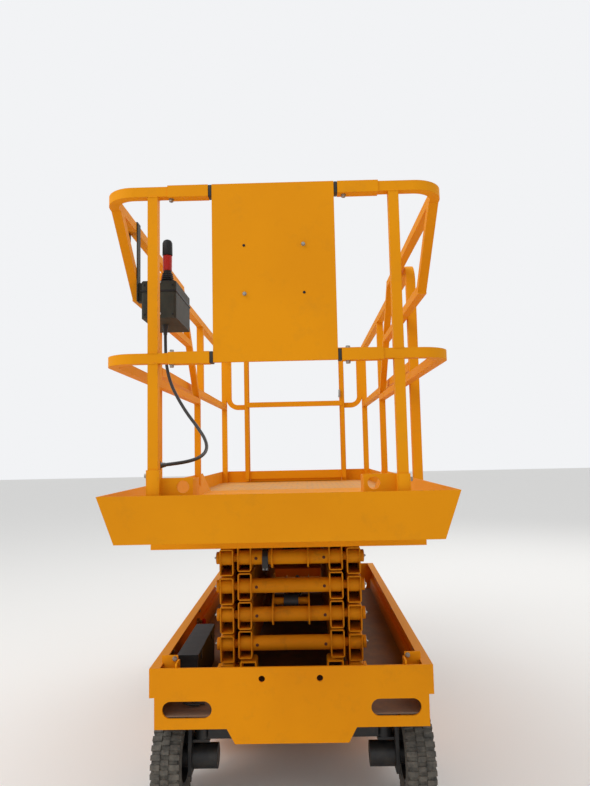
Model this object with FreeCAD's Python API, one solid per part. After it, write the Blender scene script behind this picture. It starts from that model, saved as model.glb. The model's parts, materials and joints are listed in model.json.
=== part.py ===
"""Scissor lift with five scissor levels and a sliding deck extension.

Millimetres. X is to the right, Y runs from the front (steered) end to the rear, Z is up.
The origin is the middle of the overall box, on the ground.
"""
import FreeCAD, Part
import math
import os

V = FreeCAD.Vector

# Clearances
FIT = 0.05                   # radial running clearance of a pin in its bore
SEAT = 0.3                   # gap of a slide pad or a bracket on its seat
SIDE_GAP = 1.0               # gap between a hinge sleeve or a washer and its neighbour
REST_GAP = 5.0               # gap over the blocks that the stack comes down to
RUN_GAP = 6.0                # clearance between pieces that pass each other

# Overall places
REAR_Y = 1672.0              # outer face of the chassis at the rear
DECK_Y0 = -768.0
EXT_TRAVEL = 870.0
EXT_NOSE = 34.0              # how far the end board stands ahead of the deck when slid in
FRONT_Y = DECK_Y0 - EXT_NOSE - EXT_TRAVEL

# Chassis tray
CHASSIS_FRONT_Y = -772.0
CHASSIS_HALF_W = 616.0
CHASSIS_STEP_W = 22.0
CHASSIS_LOW_HALF_W = CHASSIS_HALF_W - CHASSIS_STEP_W
CHASSIS_TOP_Z = 668.0
CHASSIS_STEP_Z = 546.0
CHASSIS_LOW_Z = 414.0
CHASSIS_SHEET = 6.0
CHASSIS_FLANGE_W = 45.0
CHASSIS_FOOT_W = 40.0
END_PLATE_T = 10.0
TAB_Z = 351.0
TAB_TOP_HALF_W = 280.0
TAB_LOW_HALF_W = 245.0
SLOT_INSET = 142.0           # from the low half width to a slot's middle
SLOT_Z, SLOT_L, SLOT_H = 494.0, 215.0, 72.0
HOLE_X, HOLE_Z, HOLE_R = 126.0, 619.0, 14.0
FLOOR_TOP_Z = 468.0
FLOOR_T = 6.0
BEAM_X0, BEAM_X1 = 160.0, 220.0
BEAM_H = 80.0
BEAM_WALL = 6.0
BEAM_R = 10.0
LUG_W, LUG_L, LUG_T = 74.0, 75.0, 8.0
LUG_Z0, LUG_Z1 = 600.0, 684.0
LUG_HOLE_R, LUG_HOLE_Y, LUG_HOLE_Z = 11.0, 45.0, 652.0
GROUND_BOX_INSET, GROUND_BOX_W = 62.0, 94.0
GROUND_BOX_Y0, GROUND_BOX_Y1, GROUND_BOX_TOP_Z = -570.0, -50.0, 662.0
GROUND_BOX_LID_H, GROUND_BOX_LID_LIP = 24.0, 3.0

# Axles, knuckles and wheels
FRONT_AXLE_Y = -538.0
REAR_AXLE_Y = 1350.0
WHEEL_R = 200.0
WHEEL_W = 130.0
WHEEL_PROUD = 9.0            # how far the tyres stand out past the tray
WHEEL_OUT_X = CHASSIS_HALF_W + WHEEL_PROUD
TYRE_CHAMFER, TYRE_SHOULDER = 12.0, 16.0
BEAD_INSET, BEAD_H = 8.0, 18.0
RIM_R = 118.0
RIM_LIP, RIM_WELL = 10.0, 18.0
RIM_DISC_IN, RIM_DISC_T, RIM_DISC_R = 52.0, 12.0, 70.0
RIM_CAP_L, RIM_CAP_R = 18.0, 62.0
SPINDLE_R = 25.0
SPINDLE_INSET = 45.0
HUB_R = 46.0
HUB_GAP = 6.0
KINGPIN_X = WHEEL_OUT_X - 205.0
KINGPIN_R = 16.0
SLEEVE_R = 38.0
SLEEVE_Z0, SLEEVE_Z1 = 286.0, 376.0
EAR_T = 14.0
EAR_GAP = 2.0
EAR_HALF_D = 34.0
MOTOR_R = 54.0
MOTOR_L = 114.0
KNUCKLE_X1 = WHEEL_OUT_X - WHEEL_W - 15.0
KNUCKLE_T = 16.0
KNUCKLE_X0 = KNUCKLE_X1 - KNUCKLE_T
KNUCKLE_HALF_D, KNUCKLE_DROP, KNUCKLE_RISE, KNUCKLE_TOP_HALF_D = 70.0, 60.0, 50.0, 38.0
AXLE_HALF_D = 45.0
AXLE_END_IN = 30.0           # from the kingpin to the beam's end, inside the sleeve
AXLE_FACE = 6.0              # how far the kingpin sleeves stand out of the beam
REAR_BEAM_Z0, REAR_BEAM_Z1 = 160.0, 250.0
REAR_SADDLE_HALF_D = 70.0
STEER_ARM = 120.0
STEER_ARM_W0, STEER_ARM_W1 = 24.0, 18.0
STEER_ARM_Y0, STEER_ARM_END = 20.0, 22.0
STEER_PIN_R = 10.0
TIE_ROD_R = 11.0
TIE_EYE_R = 22.0
TIE_EYE_H = 24.0
STEER_MAX = 50.0             # degrees each way
STEER_REACH = (WHEEL_R * math.cos(math.radians(STEER_MAX))
               + (WHEEL_OUT_X - KINGPIN_X) * math.sin(math.radians(STEER_MAX)))

# Side housings between the wheels
HOUSING_GAP = 102.0          # clearance behind the steered wheels at full lock
HOUSING_X0, HOUSING_X1 = BEAM_X1, CHASSIS_LOW_HALF_W - 38.0
HOUSING_Y0, HOUSING_Y1 = FRONT_AXLE_Y + STEER_REACH + HOUSING_GAP, 700.0
HOUSING_Z0, HOUSING_Z1 = 170.0, CHASSIS_LOW_Z
HOUSING_T = 5.0
DOOR_GAP = 1.5
DOOR_T = 6.0
DOOR_PIN_R = 4.0
DOOR_SLEEVE_R = 7.0
DOOR_SLEEVE_H = 33.0
DOOR_LUG_H, DOOR_LUG_L = 18.0, 30.0
DOOR_HINGE_LOW, DOOR_HINGE_HIGH = 40.0, 74.0
DOOR_RIB_T, DOOR_RIB_H, DOOR_RIB_END = 12.0, 24.0, 70.0
DOOR_RIB_LOW, DOOR_RIB_HIGH = 50.0, 80.0
DOOR_GRIP_T, DOOR_GRIP_W, DOOR_GRIP_H, DOOR_GRIP_IN, DOOR_GRIP_UP = 16.0, 20.0, 80.0, 30.0, 85.0
BATTERY_L, BATTERY_SPACE, BATTERY_TOP_Z, BATTERY_COUNT = 250.0, 12.0, 440.0, 3
BATTERY_IN, BATTERY_OUT, BATTERY_START = 60.0, 40.0, 25.0
TANK_L, TANK_START, TANK_TOP_Z = 440.0, 40.0, 430.0
PUMP_L, PUMP_START, PUMP_TOP_Z = 240.0, 520.0, 330.0
PUMP_IN, PUMP_OUT = 90.0, 60.0

# Scissor stack
LEVELS = 5
NEAR_PIN_Y = -518.0
ROW0_Z = 563.0
PITCH_Z = 132.8
FAR_PIN_Y = 1522.0
ARM_H = 125.0
ARM_W = 66.0
ARM_WALL = 6.0
ARM_CORNER_R = 12.0
ARM_END = 40.0
INNER_X0 = 184.0
OUTER_X0 = 269.0
OUTER_DROP = 15.0            # the outer arms' middle lies this far below their pins
PIN_R = 20.0
BOSS_R = 34.0
PIN_HEAD_R = 29.0
PIN_HEAD_T = 14.0
PIN_SIDE_GAP = 3.0
LIFT_MAX = 54.0              # degrees of arm travel from rest
PIVOT_FOOT, PIVOT_TOP, PIVOT_RISE = 60.0, 38.0, 30.0
REST_BACK, REST_REACH, REST_WALL = 40.0, 60.0, 8.0
REST_IN, REST_OUT = 19.0, 7.0
ROLLER_R = 45.0
ROLLER_X0, ROLLER_X1 = 352.0, 398.0
TRACK_LIP = 4.0              # how far the tracks reach inwards past the rollers
TRACK_X1 = 410.0
TRACK_T = 8.0
TRACK_Y0 = 545.0
TRACK_Y1 = 1600.0
UPPER_EAR_X0, UPPER_EAR_X1 = 285.0, 305.0
UPPER_EAR_TOP, UPPER_EAR_FOOT, UPPER_EAR_DROP = 70.0, 36.0, 34.0

# Lift cylinders
BARREL_R = 42.0
BARREL_BORE_R = 33.0
BARREL_END = 110.0           # from the base pin to the bore's bottom
GLAND_BACK = 40.0            # from the rod's eye to the barrel's mouth
COLLAR_R, COLLAR_L = 49.0, 60.0
PISTON_L = 40.0
ROD_R = 25.0
EYE_R = 36.0
EYE_W = 70.0
EYE_CHAMFER = 8.0
CYL_PIN_R = 18.0
CYL_EAR_X0 = 82.0
CYL_EAR_T = 8.0
EAR_RING_R = 50.0            # ear plate round the cross tube
EAR_EYE_R = 40.0             # ear plate round the cylinder's pin
BASE_OFF_Y, BASE_OFF_Z = -88.0, 0.0      # base pin from the far cross tube, along the arm
ROD_OFF_Y, ROD_OFF_Z = 62.0, 48.0        # rod pin from the near cross tube, along the arm
CYLINDER_LEVELS = ((1, 2), (3, 4))       # (level of the base, level of the rod's eye)

# Main deck
DECK_HALF_W = 610.0
DECK_Y1 = 1656.0
DECK_FRAME_Z = 1175.0
DECK_TOP_Z = 1350.0
DECK_PLATE_T = 5.0
DECK_WEB = 6.0
DECK_FLANGE = 50.0
TOE_H = 90.0
TOE_TOP_Z = DECK_TOP_Z + TOE_H
TOE_T = 4.0
LADDER_HALF_W, LADDER_TUBE = 200.0, 30.0
LADDER_D, LADDER_RUNG_H = 40.0, 26.0
LADDER_TOP_Z = DECK_FRAME_Z - 45.0
LADDER_RUNGS_Z = (760.0, 1010.0)

# Guard rails
TUBE = 40.0
TUBE_R = 6.0
TOP_RAIL_Z = 2436.0
MAIN_RAIL_X = DECK_HALF_W - TOE_T - TUBE / 2
MAIN_MID_Z = TOP_RAIL_Z - 461.0
MAIN_FRONT_Y = DECK_Y0 + TUBE / 2
MAIN_REAR_Y = DECK_Y1 - TOE_T - TUBE / 2
MAIN_ELBOW_R = 80.0
MAIN_UPRIGHT_Y = 442.0
GATE_POST_INSET = 189.0      # from the corner posts to the gate's posts
GATE_POST_X = MAIN_RAIL_X - GATE_POST_INSET
REAR_U_X = MAIN_RAIL_X - TUBE
REAR_U_R = 75.0
REAR_U_Z = MAIN_MID_Z - 5.0

# Entry gate
GATE_TUBE = 30.0
GATE_BAR = 40.0
GATE_Y = MAIN_REAR_Y - TUBE / 2 - GATE_TUBE / math.sqrt(2) - RUN_GAP
GATE_Z0 = DECK_TOP_Z + 25.0
GATE_TOP_Z = TOP_RAIL_Z + 4.0
GATE_MID_Z = MAIN_MID_Z + 10.0
GATE_PIN_R = 6.0
GATE_PIN_L = 30.0
GATE_LUG_T = 15.0
GATE_LUG_HALF_W = 12.0

# Extension
EXT_TUBE = 32.0
EXT_TUBE_R = 5.0
EXT_FLOOR_Z = DECK_TOP_Z + 12.0
EXT_PLATE_T = 5.0
EXT_REAR_Y = 280.0
EXT_TOE_T = 4.0
EXT_TOE_TOP_Z = EXT_FLOOR_Z + 111.0
EXT_TOE_LOW_Z = EXT_FLOOR_Z - 37.0
EXT_SIDE_GAP = 14.0          # from the boards' top edges to the main rails
EXT_SIDE_LEAN = 48.0
EXT_END_LEAN = 22.0
EXT_STRIP_W = 16.0           # floor edge under a side board
EXT_TOE_TOP_HALF_W = MAIN_RAIL_X - TUBE / 2 - EXT_SIDE_GAP
EXT_TOE_LOW_HALF_W = EXT_TOE_TOP_HALF_W - EXT_SIDE_LEAN
EXT_FLOOR_HALF_W = EXT_TOE_LOW_HALF_W - EXT_STRIP_W
EXT_RAIL_X = EXT_TOE_TOP_HALF_W - EXT_TUBE / 2
EXT_FRONT_Y = FRONT_Y + 42.0
EXT_POST_INSET = 151.0
EXT_POST_X = EXT_RAIL_X - EXT_POST_INSET
EXT_MID_Z = TOP_RAIL_Z - 539.0
EXT_LOW_Z = TOP_RAIL_Z - 246.0      # straight rail between the diagonal and the rear member
EXT_CORNER_R = 85.0
EXT_DIAG_RUN = 285.0                # length of the diagonal along the deck
EXT_TOP_END_Y = -430.0
EXT_MID_END_Y = 50.0
PAD_X0, PAD_X1 = EXT_FLOOR_HALF_W - 58.0, EXT_FLOOR_HALF_W - 8.0

# Front panel
PANEL_HALF_W = 195.0
PANEL_Z0, PANEL_Z1 = EXT_MID_Z - 17.0, TOP_RAIL_Z + 19.0
PANEL_T = 5.0
PANEL_GAP = 12.0
PANEL_BACK_UP = 2.0          # the seats on the rails stand this far towards the panel's middle
SPIGOT = 24.0
SLEEVE_L = 130.0
SLEEVE_T = 3.0
BRACKET_W = 104.0
BRACKET_X0 = EXT_POST_X - EXT_TUBE / 2 - BRACKET_W
BRACKET_T = 8.0
BRACKET_H = 157.0
BRACKET_HOLE_R, BRACKET_HOLE_X, BRACKET_HOLE_DOWN = 19.5, 31.0, 28.0

# Controls on the extension
BOX_INSET, BOX_W = 36.0, 127.0
BOX_X0 = BOX_INSET - EXT_RAIL_X
BOX_X1 = BOX_X0 + BOX_W
BOX_Y0, BOX_Y1 = -1348.0, -1068.0
BOX_Z1 = TOP_RAIL_Z - 208.0
BOX_Z0 = BOX_Z1 - 137.0
BOX_CORNER_R = 10.0
STICK_IN, STICK_Y, STICK_R = 84.0, -1290.0, 19.0
STICK_X = BOX_X0 + STICK_IN
STICK_STEM_R, STICK_STEM_H, STICK_H = 8.0, 40.0, 174.0
STICK_BOOT_R, STICK_BOOT_H = 26.0, 22.0
STICK_CHAMFER = 6.0
STRAP_T = 4.0
STRAP_W = 40.0
STRAP_Y = BOX_Y0 + 10.0
STRAP_HOOK = 60.0
STRAP_FOOT_H = 70.0
CABLE_R = 6.0
CABLE_POINTS = (
    (-440.0, -1222.0, 2091.0),
    (-440.0, -1222.0, 2020.0),
    (-436.0, -1228.0, 1935.0),
    (-417.0, -1238.0, 1862.0),
    (-385.0, -1258.0, 1803.0),
    (-349.0, -1280.0, 1748.0),
    (-304.0, -1308.0, 1693.0),
    (-270.0, -1342.0, 1648.0),
    (-256.0, -1390.0, 1611.0),
    (-268.0, -1445.0, 1586.0),
    (-300.0, -1500.0, 1572.0),
    (-352.0, -1545.0, 1565.0),
    (-383.0, -1598.0, 1562.0),
)
CABLE_BEND_SHARE = 0.45      # share of the shorter run that a bend takes
SOCKET_HALF_W, SOCKET_HALF_H = 13.0, 15.0
SOCKET_GAP = 3.3             # the cable meets the socket at a slant

ARM_LENGTH = math.hypot(FAR_PIN_Y - NEAR_PIN_Y, PITCH_Z)
REST_ANGLE = math.degrees(math.asin(PITCH_Z / ARM_LENGTH))
PIN_HEAD_X = OUTER_X0 + ARM_W + PIN_SIDE_GAP
X_AXIS, Y_AXIS, Z_AXIS = V(1, 0, 0), V(0, 1, 0), V(0, 0, 1)


# Shape helpers

def box(x0, x1, y0, y1, z0, z1):
    return Part.makeBox(x1 - x0, y1 - y0, z1 - z0, V(x0, y0, z0))


def cylinder_x(radius, x0, x1, y, z):
    return Part.makeCylinder(radius, x1 - x0, V(x0, y, z), X_AXIS)


def cylinder_y(radius, y0, y1, x, z):
    return Part.makeCylinder(radius, y1 - y0, V(x, y0, z), Y_AXIS)


def cylinder_z(radius, z0, z1, x, y):
    return Part.makeCylinder(radius, z1 - z0, V(x, y, z0), Z_AXIS)


def face_of(points):
    return Part.Face(Part.makePolygon(list(points) + [points[0]]))


def prism_y(points_xz, y0, y1):
    return face_of([V(x, y0, z) for x, z in points_xz]).extrude(V(0, y1 - y0, 0))


def prism_x(points_yz, x0, x1):
    return face_of([V(x0, y, z) for y, z in points_yz]).extrude(V(x1 - x0, 0, 0))


def prism_z(points_xy, z0, z1):
    return face_of([V(x, y, z0) for x, y in points_xy]).extrude(V(0, 0, z1 - z0))


def join(shapes):
    first, rest = shapes[0], shapes[1:]
    return first.multiFuse(rest).removeSplitter() if rest else first


def mirrored(shape):
    return shape.mirror(V(0, 0, 0), X_AXIS)


def both_sides(shape):
    return [shape, mirrored(shape)]


def rounded_along(shape, axis, radius):
    """Shape with those edges rounded that run along an axis."""
    edges = [e for e in shape.Edges
             if len(e.Vertexes) == 2
             and e.Vertexes[1].Point.sub(e.Vertexes[0].Point).cross(axis).Length < FIT]
    return shape.makeFillet(radius, edges)


def square_tube_y(x0, x1, y0, y1, z0, z1, wall, radius):
    """Hollow section along Y with rounded corners outside and open ends."""
    outer = rounded_along(box(x0, x1, y0, y1, z0, z1), Y_AXIS, radius)
    return outer.cut(box(x0 + wall, x1 - wall, y0 - 1, y1 + 1, z0 + wall, z1 - wall))


def bar(start, end, depth, normal):
    """Square bar between two points; one of its sides faces along normal."""
    along = end.sub(start)
    side = normal.cross(along).normalize().multiply(depth / 2)
    up = V(normal).normalize().multiply(depth / 2)
    corners = [start.add(side).sub(up), start.sub(side).sub(up),
               start.sub(side).add(up), start.add(side).add(up)]
    return face_of(corners).extrude(along)


def arc_frame(before, corner, after, radius):
    """Start, end, centre and half the turn of a bend of one radius at a corner."""
    back = before.sub(corner).normalize()
    ahead = after.sub(corner).normalize()
    half_turn = (math.pi - back.getAngle(ahead)) / 2
    reach = radius * math.tan(half_turn)
    centre = corner.add(back.add(ahead).normalize() * (radius / math.cos(half_turn)))
    return corner.add(back * reach), corner.add(ahead * reach), centre


def bent_bar(points, radius, depth, normal):
    """Square bar along a plane path whose corners are bent to one radius."""
    up = V(normal).normalize().multiply(depth / 2)
    pieces = []
    start = points[0]
    for before, corner, after in zip(points, points[1:], points[2:]):
        rim_in, rim_out, centre = arc_frame(before, corner, after, radius)
        pieces.append(bar(start, rim_in, depth, normal))
        outer, inner = ([centre.add(p.sub(centre).normalize() * size)
                         for p in (rim_in, corner, rim_out)]
                        for size in (radius + depth / 2, radius - depth / 2))
        edges = [Part.Arc(*outer).toShape(), Part.makeLine(outer[2], inner[2]),
                 Part.Arc(*reversed(inner)).toShape(), Part.makeLine(inner[0], outer[0])]
        bend = Part.Face(Part.Wire(edges))
        bend.translate(V(up).multiply(-1))
        pieces.append(bend.extrude(V(up).multiply(2)))
        start = rim_out
    pieces.append(bar(start, points[-1], depth, normal))
    return join(pieces)


def obround(x, z, length, height, y0, y1):
    half = (length - height) / 2
    middle = box(x - half, x + half, y0, y1, z - height / 2, z + height / 2)
    ends = [cylinder_y(height / 2, y0, y1, x + side * half, z) for side in (-1, 1)]
    return join([middle] + ends)


def link_plate(y0, z0, r0, y1, z1, r1, x0, x1):
    """Plate round two centres, with straight edges that run from round to round."""
    line = math.atan2(z1 - z0, y1 - y0)
    spread = math.acos((r0 - r1) / math.hypot(y1 - y0, z1 - z0))
    tangents = []
    for y, z, r, signs in ((y0, z0, r0, (1, -1)), (y1, z1, r1, (-1, 1))):
        for sign in signs:
            angle = line + sign * spread
            tangents.append((y + r * math.cos(angle), z + r * math.sin(angle)))
    return join([prism_x(tangents, x0, x1), cylinder_x(r0, x0, x1, y0, z0),
                 cylinder_x(r1, x0, x1, y1, z1)])


def row_z(row):
    return ROW0_Z + row * PITCH_Z


# Chassis

def end_plate(y0, y1):
    half = [(CHASSIS_HALF_W, CHASSIS_TOP_Z), (CHASSIS_HALF_W, CHASSIS_STEP_Z),
            (CHASSIS_LOW_HALF_W, CHASSIS_STEP_Z), (CHASSIS_LOW_HALF_W, CHASSIS_LOW_Z),
            (TAB_TOP_HALF_W, CHASSIS_LOW_Z), (TAB_LOW_HALF_W, TAB_Z)]
    outline = half + [(-x, z) for x, z in reversed(half)]
    plate = prism_y(outline, y0, y1)
    slot_x = CHASSIS_LOW_HALF_W - SLOT_INSET
    for x in (-slot_x, slot_x):
        plate = plate.cut(obround(x, SLOT_Z, SLOT_L, SLOT_H, y0 - 1, y1 + 1))
    return plate


def end_plates():
    """Front and rear plates; only the front one has the two round holes."""
    front = end_plate(CHASSIS_FRONT_Y, CHASSIS_FRONT_Y + END_PLATE_T)
    for x in (-HOLE_X, HOLE_X):
        front = front.cut(cylinder_y(HOLE_R, CHASSIS_FRONT_Y - 1,
                                     CHASSIS_FRONT_Y + END_PLATE_T + 1, x, HOLE_Z))
    return [front, end_plate(REAR_Y - END_PLATE_T, REAR_Y)]


def chassis_side_members():
    t = CHASSIS_SHEET
    profile = [
        (CHASSIS_HALF_W, CHASSIS_TOP_Z), (CHASSIS_HALF_W, CHASSIS_STEP_Z),
        (CHASSIS_LOW_HALF_W, CHASSIS_STEP_Z), (CHASSIS_LOW_HALF_W, CHASSIS_LOW_Z),
        (CHASSIS_LOW_HALF_W - CHASSIS_FOOT_W, CHASSIS_LOW_Z),
        (CHASSIS_LOW_HALF_W - CHASSIS_FOOT_W, CHASSIS_LOW_Z + t),
        (CHASSIS_LOW_HALF_W - t, CHASSIS_LOW_Z + t),
        (CHASSIS_LOW_HALF_W - t, CHASSIS_STEP_Z + t),
        (CHASSIS_HALF_W - t, CHASSIS_STEP_Z + t), (CHASSIS_HALF_W - t, CHASSIS_TOP_Z - t),
        (CHASSIS_HALF_W - CHASSIS_FLANGE_W, CHASSIS_TOP_Z - t),
        (CHASSIS_HALF_W - CHASSIS_FLANGE_W, CHASSIS_TOP_Z),
    ]
    return both_sides(prism_y(profile, CHASSIS_FRONT_Y + END_PLATE_T, REAR_Y - END_PLATE_T))


def chassis_floor():
    half_w = CHASSIS_LOW_HALF_W - CHASSIS_SHEET
    return [box(-half_w, half_w, CHASSIS_FRONT_Y + END_PLATE_T, REAR_Y - END_PLATE_T,
                FLOOR_TOP_Z - FLOOR_T, FLOOR_TOP_Z)]


def underframe():
    top = FLOOR_TOP_Z - FLOOR_T
    return both_sides(square_tube_y(BEAM_X0, BEAM_X1, CHASSIS_FRONT_Y + END_PLATE_T,
                                    REAR_Y - END_PLATE_T, top - BEAM_H, top, BEAM_WALL, BEAM_R))


def pivot_brackets():
    """Ears of the lower fixed pivot, with the pins that the first outer arms turn on."""
    z = row_z(0)
    outline = [(NEAR_PIN_Y - PIVOT_FOOT, FLOOR_TOP_Z), (NEAR_PIN_Y + PIVOT_FOOT, FLOOR_TOP_Z),
               (NEAR_PIN_Y + PIVOT_TOP, z + PIVOT_RISE), (NEAR_PIN_Y - PIVOT_TOP, z + PIVOT_RISE)]
    x_in = OUTER_X0 - PIN_SIDE_GAP
    pieces = [prism_x(outline, x0, x0 + EAR_T) for x0 in (x_in - EAR_T, PIN_HEAD_X)]
    pieces.append(cylinder_x(PIN_R, x_in - EAR_T, PIN_HEAD_X + EAR_T, NEAR_PIN_Y, z))
    return both_sides(join(pieces))


def track(z_axis, base_z):
    """Channel that a roller runs in, open towards the arms, joined to a plate at base_z."""
    loaded, free = ROLLER_R + SEAT, ROLLER_R + RUN_GAP
    if base_z < z_axis:
        low, high = z_axis - loaded, z_axis + free
        web = (base_z, high + TRACK_T)
    else:
        low, high = z_axis - free, z_axis + loaded
        web = (low - TRACK_T, base_z)
    x0 = ROLLER_X0 - TRACK_LIP
    pieces = [
        box(TRACK_X1 - TRACK_T, TRACK_X1, TRACK_Y0, TRACK_Y1, web[0], web[1]),
        box(x0, TRACK_X1, TRACK_Y0, TRACK_Y1, low - TRACK_T, low),
        box(x0, TRACK_X1, TRACK_Y0, TRACK_Y1, high, high + TRACK_T),
    ]
    return join(pieces)


def lower_tracks():
    return both_sides(track(row_z(0), FLOOR_TOP_Z))


def rest_blocks():
    """Tube stubs that the lowest inner arms come to rest on."""
    slope = math.radians(REST_ANGLE)
    under_pin = ARM_H / 2 / math.cos(slope) + REST_REACH * math.tan(slope)
    top = row_z(1) - under_pin - REST_GAP
    stub = square_tube_y(INNER_X0 - REST_IN, INNER_X0 + ARM_W - REST_OUT,
                         NEAR_PIN_Y - REST_BACK, NEAR_PIN_Y + REST_REACH,
                         FLOOR_TOP_Z, top, REST_WALL, ARM_CORNER_R)
    return both_sides(stub)


def ground_control_box():
    """Box with a lid that stands a little proud of it, in the front left of the tray."""
    x0 = GROUND_BOX_INSET - CHASSIS_LOW_HALF_W
    x1 = x0 + GROUND_BOX_W
    lip, split = GROUND_BOX_LID_LIP, GROUND_BOX_TOP_Z - GROUND_BOX_LID_H
    body = box(x0, x1, GROUND_BOX_Y0, GROUND_BOX_Y1, FLOOR_TOP_Z, split)
    lid = box(x0 - lip, x1 + lip, GROUND_BOX_Y0 - lip, GROUND_BOX_Y1 + lip,
              split, GROUND_BOX_TOP_Z)
    return [join([body, lid])]


def corner_brackets():
    """Folded lugs in the two front corners of the tray."""
    y0 = CHASSIS_FRONT_Y + END_PLATE_T
    x1 = CHASSIS_HALF_W - CHASSIS_SHEET
    x0 = CHASSIS_HALF_W - CHASSIS_FLANGE_W - LUG_W
    shelf = box(x0, x1, y0, y0 + LUG_L, LUG_Z0, LUG_Z0 + LUG_T)
    web = box(x0, x0 + LUG_T, y0, y0 + LUG_L, LUG_Z0, LUG_Z1)
    web = rounded_along(web, X_AXIS, LUG_HOLE_R)
    lug = join([shelf, web])
    lug = lug.cut(cylinder_x(LUG_HOLE_R, x0 - 1, x0 + LUG_T + 1, y0 + LUG_HOLE_Y, LUG_HOLE_Z))
    return both_sides(lug)


def chassis_brackets():
    return pivot_brackets() + rest_blocks() + corner_brackets()


def door_axis():
    """Hinge line at the front edge of a side door: x and y."""
    return HOUSING_X1 + DOOR_GAP + DOOR_T / 2, HOUSING_Y0 - DOOR_SLEEVE_R - DOOR_GAP


def door_hinge_spots():
    return HOUSING_Z0 + DOOR_HINGE_LOW, HOUSING_Z1 - DOOR_HINGE_HIGH


def side_housings():
    """Open-sided boxes between the wheels that hold the batteries and the hydraulic set."""
    x0, x1, y0, y1, t = HOUSING_X0, HOUSING_X1, HOUSING_Y0, HOUSING_Y1, HOUSING_T
    shell = box(x0, x1, y0, y1, HOUSING_Z0, HOUSING_Z1)
    shell = shell.cut(box(x0 + t, x1 + 1, y0 + t, y1 - t, HOUSING_Z0 + t, HOUSING_Z1 + 1))
    x, y = door_axis()
    pieces = [shell]
    for z in door_hinge_spots():
        pieces.append(cylinder_z(DOOR_SLEEVE_R, z - DOOR_LUG_H, z, x, y))
        pieces.append(cylinder_z(DOOR_PIN_R, z, z + DOOR_SLEEVE_H, x, y))
        pieces.append(box(x1 - DOOR_LUG_L, x, y - DOOR_PIN_R, y0, z - DOOR_LUG_H, z))
    return both_sides(join(pieces))


def battery_blocks():
    blocks = []
    for index in range(BATTERY_COUNT):
        y = HOUSING_Y0 + BATTERY_START + index * (BATTERY_L + BATTERY_SPACE)
        blocks.append(box(HOUSING_X0 + BATTERY_IN, HOUSING_X1 - BATTERY_OUT, y, y + BATTERY_L,
                          HOUSING_Z0 + HOUSING_T, BATTERY_TOP_Z))
    return blocks


def hydraulic_block():
    z0 = HOUSING_Z0 + HOUSING_T
    tank_y, pump_y = HOUSING_Y0 + TANK_START, HOUSING_Y0 + PUMP_START
    tank = box(BATTERY_OUT - HOUSING_X1, -HOUSING_X0 - BATTERY_IN, tank_y, tank_y + TANK_L,
               z0, TANK_TOP_Z)
    pump = box(PUMP_OUT - HOUSING_X1, -HOUSING_X0 - PUMP_IN, pump_y, pump_y + PUMP_L,
               z0, PUMP_TOP_Z)
    return [tank, pump]


def power_blocks():
    return battery_blocks() + hydraulic_block()


def side_door(side):
    """Door with two pressed ribs and a grip, hinged at its front edge."""
    y0, y1, z0, z1 = HOUSING_Y0, HOUSING_Y1, HOUSING_Z0, HOUSING_Z1
    x_in = HOUSING_X1 + DOOR_GAP
    x_out = x_in + DOOR_T
    x, y = door_axis()
    pieces = [box(x_in, x_out, y0 + DOOR_GAP, y1, z0 + DOOR_GAP, z1 - RUN_GAP)]
    for z in (z0 + DOOR_RIB_LOW, z1 - DOOR_RIB_HIGH):
        pieces.append(box(x_out, x_out + DOOR_RIB_T, y0 + DOOR_RIB_END, y1 - DOOR_RIB_END,
                          z, z + DOOR_RIB_H))
    grip_y, grip_z = y1 - DOOR_GRIP_IN, z0 + DOOR_GRIP_UP
    pieces.append(box(x_out, x_out + DOOR_GRIP_T, grip_y - DOOR_GRIP_W, grip_y,
                      grip_z, grip_z + DOOR_GRIP_H))
    for z in door_hinge_spots():
        pieces.append(cylinder_z(DOOR_SLEEVE_R, z + SIDE_GAP, z + DOOR_SLEEVE_H, x, y))
        pieces.append(box(x_in, x_out, y, y0 + DOOR_T, z + SIDE_GAP, z + DOOR_SLEEVE_H))
    door = join(pieces)
    for z in door_hinge_spots():
        door = door.cut(cylinder_z(DOOR_PIN_R + FIT, z, z + DOOR_SLEEVE_H + 1, x, y))
    return [door if side > 0 else mirrored(door)]


def ladder():
    """Steps and uprights at the rear end, between the tray and the deck."""
    y1 = REAR_Y - END_PLATE_T
    y0 = y1 - LADDER_D
    h, half = LADDER_TUBE / 2, LADDER_HALF_W
    step_in = (LADDER_D - LADDER_TUBE) / 2
    uprights = [box(x - h, x + h, y0 + step_in, y1 - step_in, FLOOR_TOP_Z, LADDER_TOP_Z)
                for x in (-half, half)]
    rungs = [box(-half, half, y0, y1, z, z + LADDER_RUNG_H) for z in LADDER_RUNGS_Z]
    return [join(uprights + rungs)]


# Axles

def saddle(side, y, half_d, z0):
    """Block that carries an axle beam under one longitudinal of the frame."""
    x0 = BEAM_X0 if side > 0 else -BEAM_X1
    return box(x0, x0 + BEAM_X1 - BEAM_X0, y - half_d, y + half_d,
               z0, FLOOR_TOP_Z - FLOOR_T - BEAM_H)


def front_axle():
    y, half_w = FRONT_AXLE_Y, KINGPIN_X - AXLE_END_IN
    z0, z1 = SLEEVE_Z0 + AXLE_FACE, SLEEVE_Z1 - AXLE_FACE
    pieces = [box(-half_w, half_w, y - AXLE_HALF_D, y + AXLE_HALF_D, z0, z1)]
    for side in (-1, 1):
        pieces.append(cylinder_z(SLEEVE_R, SLEEVE_Z0, SLEEVE_Z1, side * KINGPIN_X, y))
        pieces.append(saddle(side, y, AXLE_HALF_D, z1))
    axle = join(pieces)
    for side in (-1, 1):
        axle = axle.cut(cylinder_z(KINGPIN_R + FIT, SLEEVE_Z0 - 1, SLEEVE_Z1 + 1,
                                   side * KINGPIN_X, y))
    return [axle]


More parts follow.
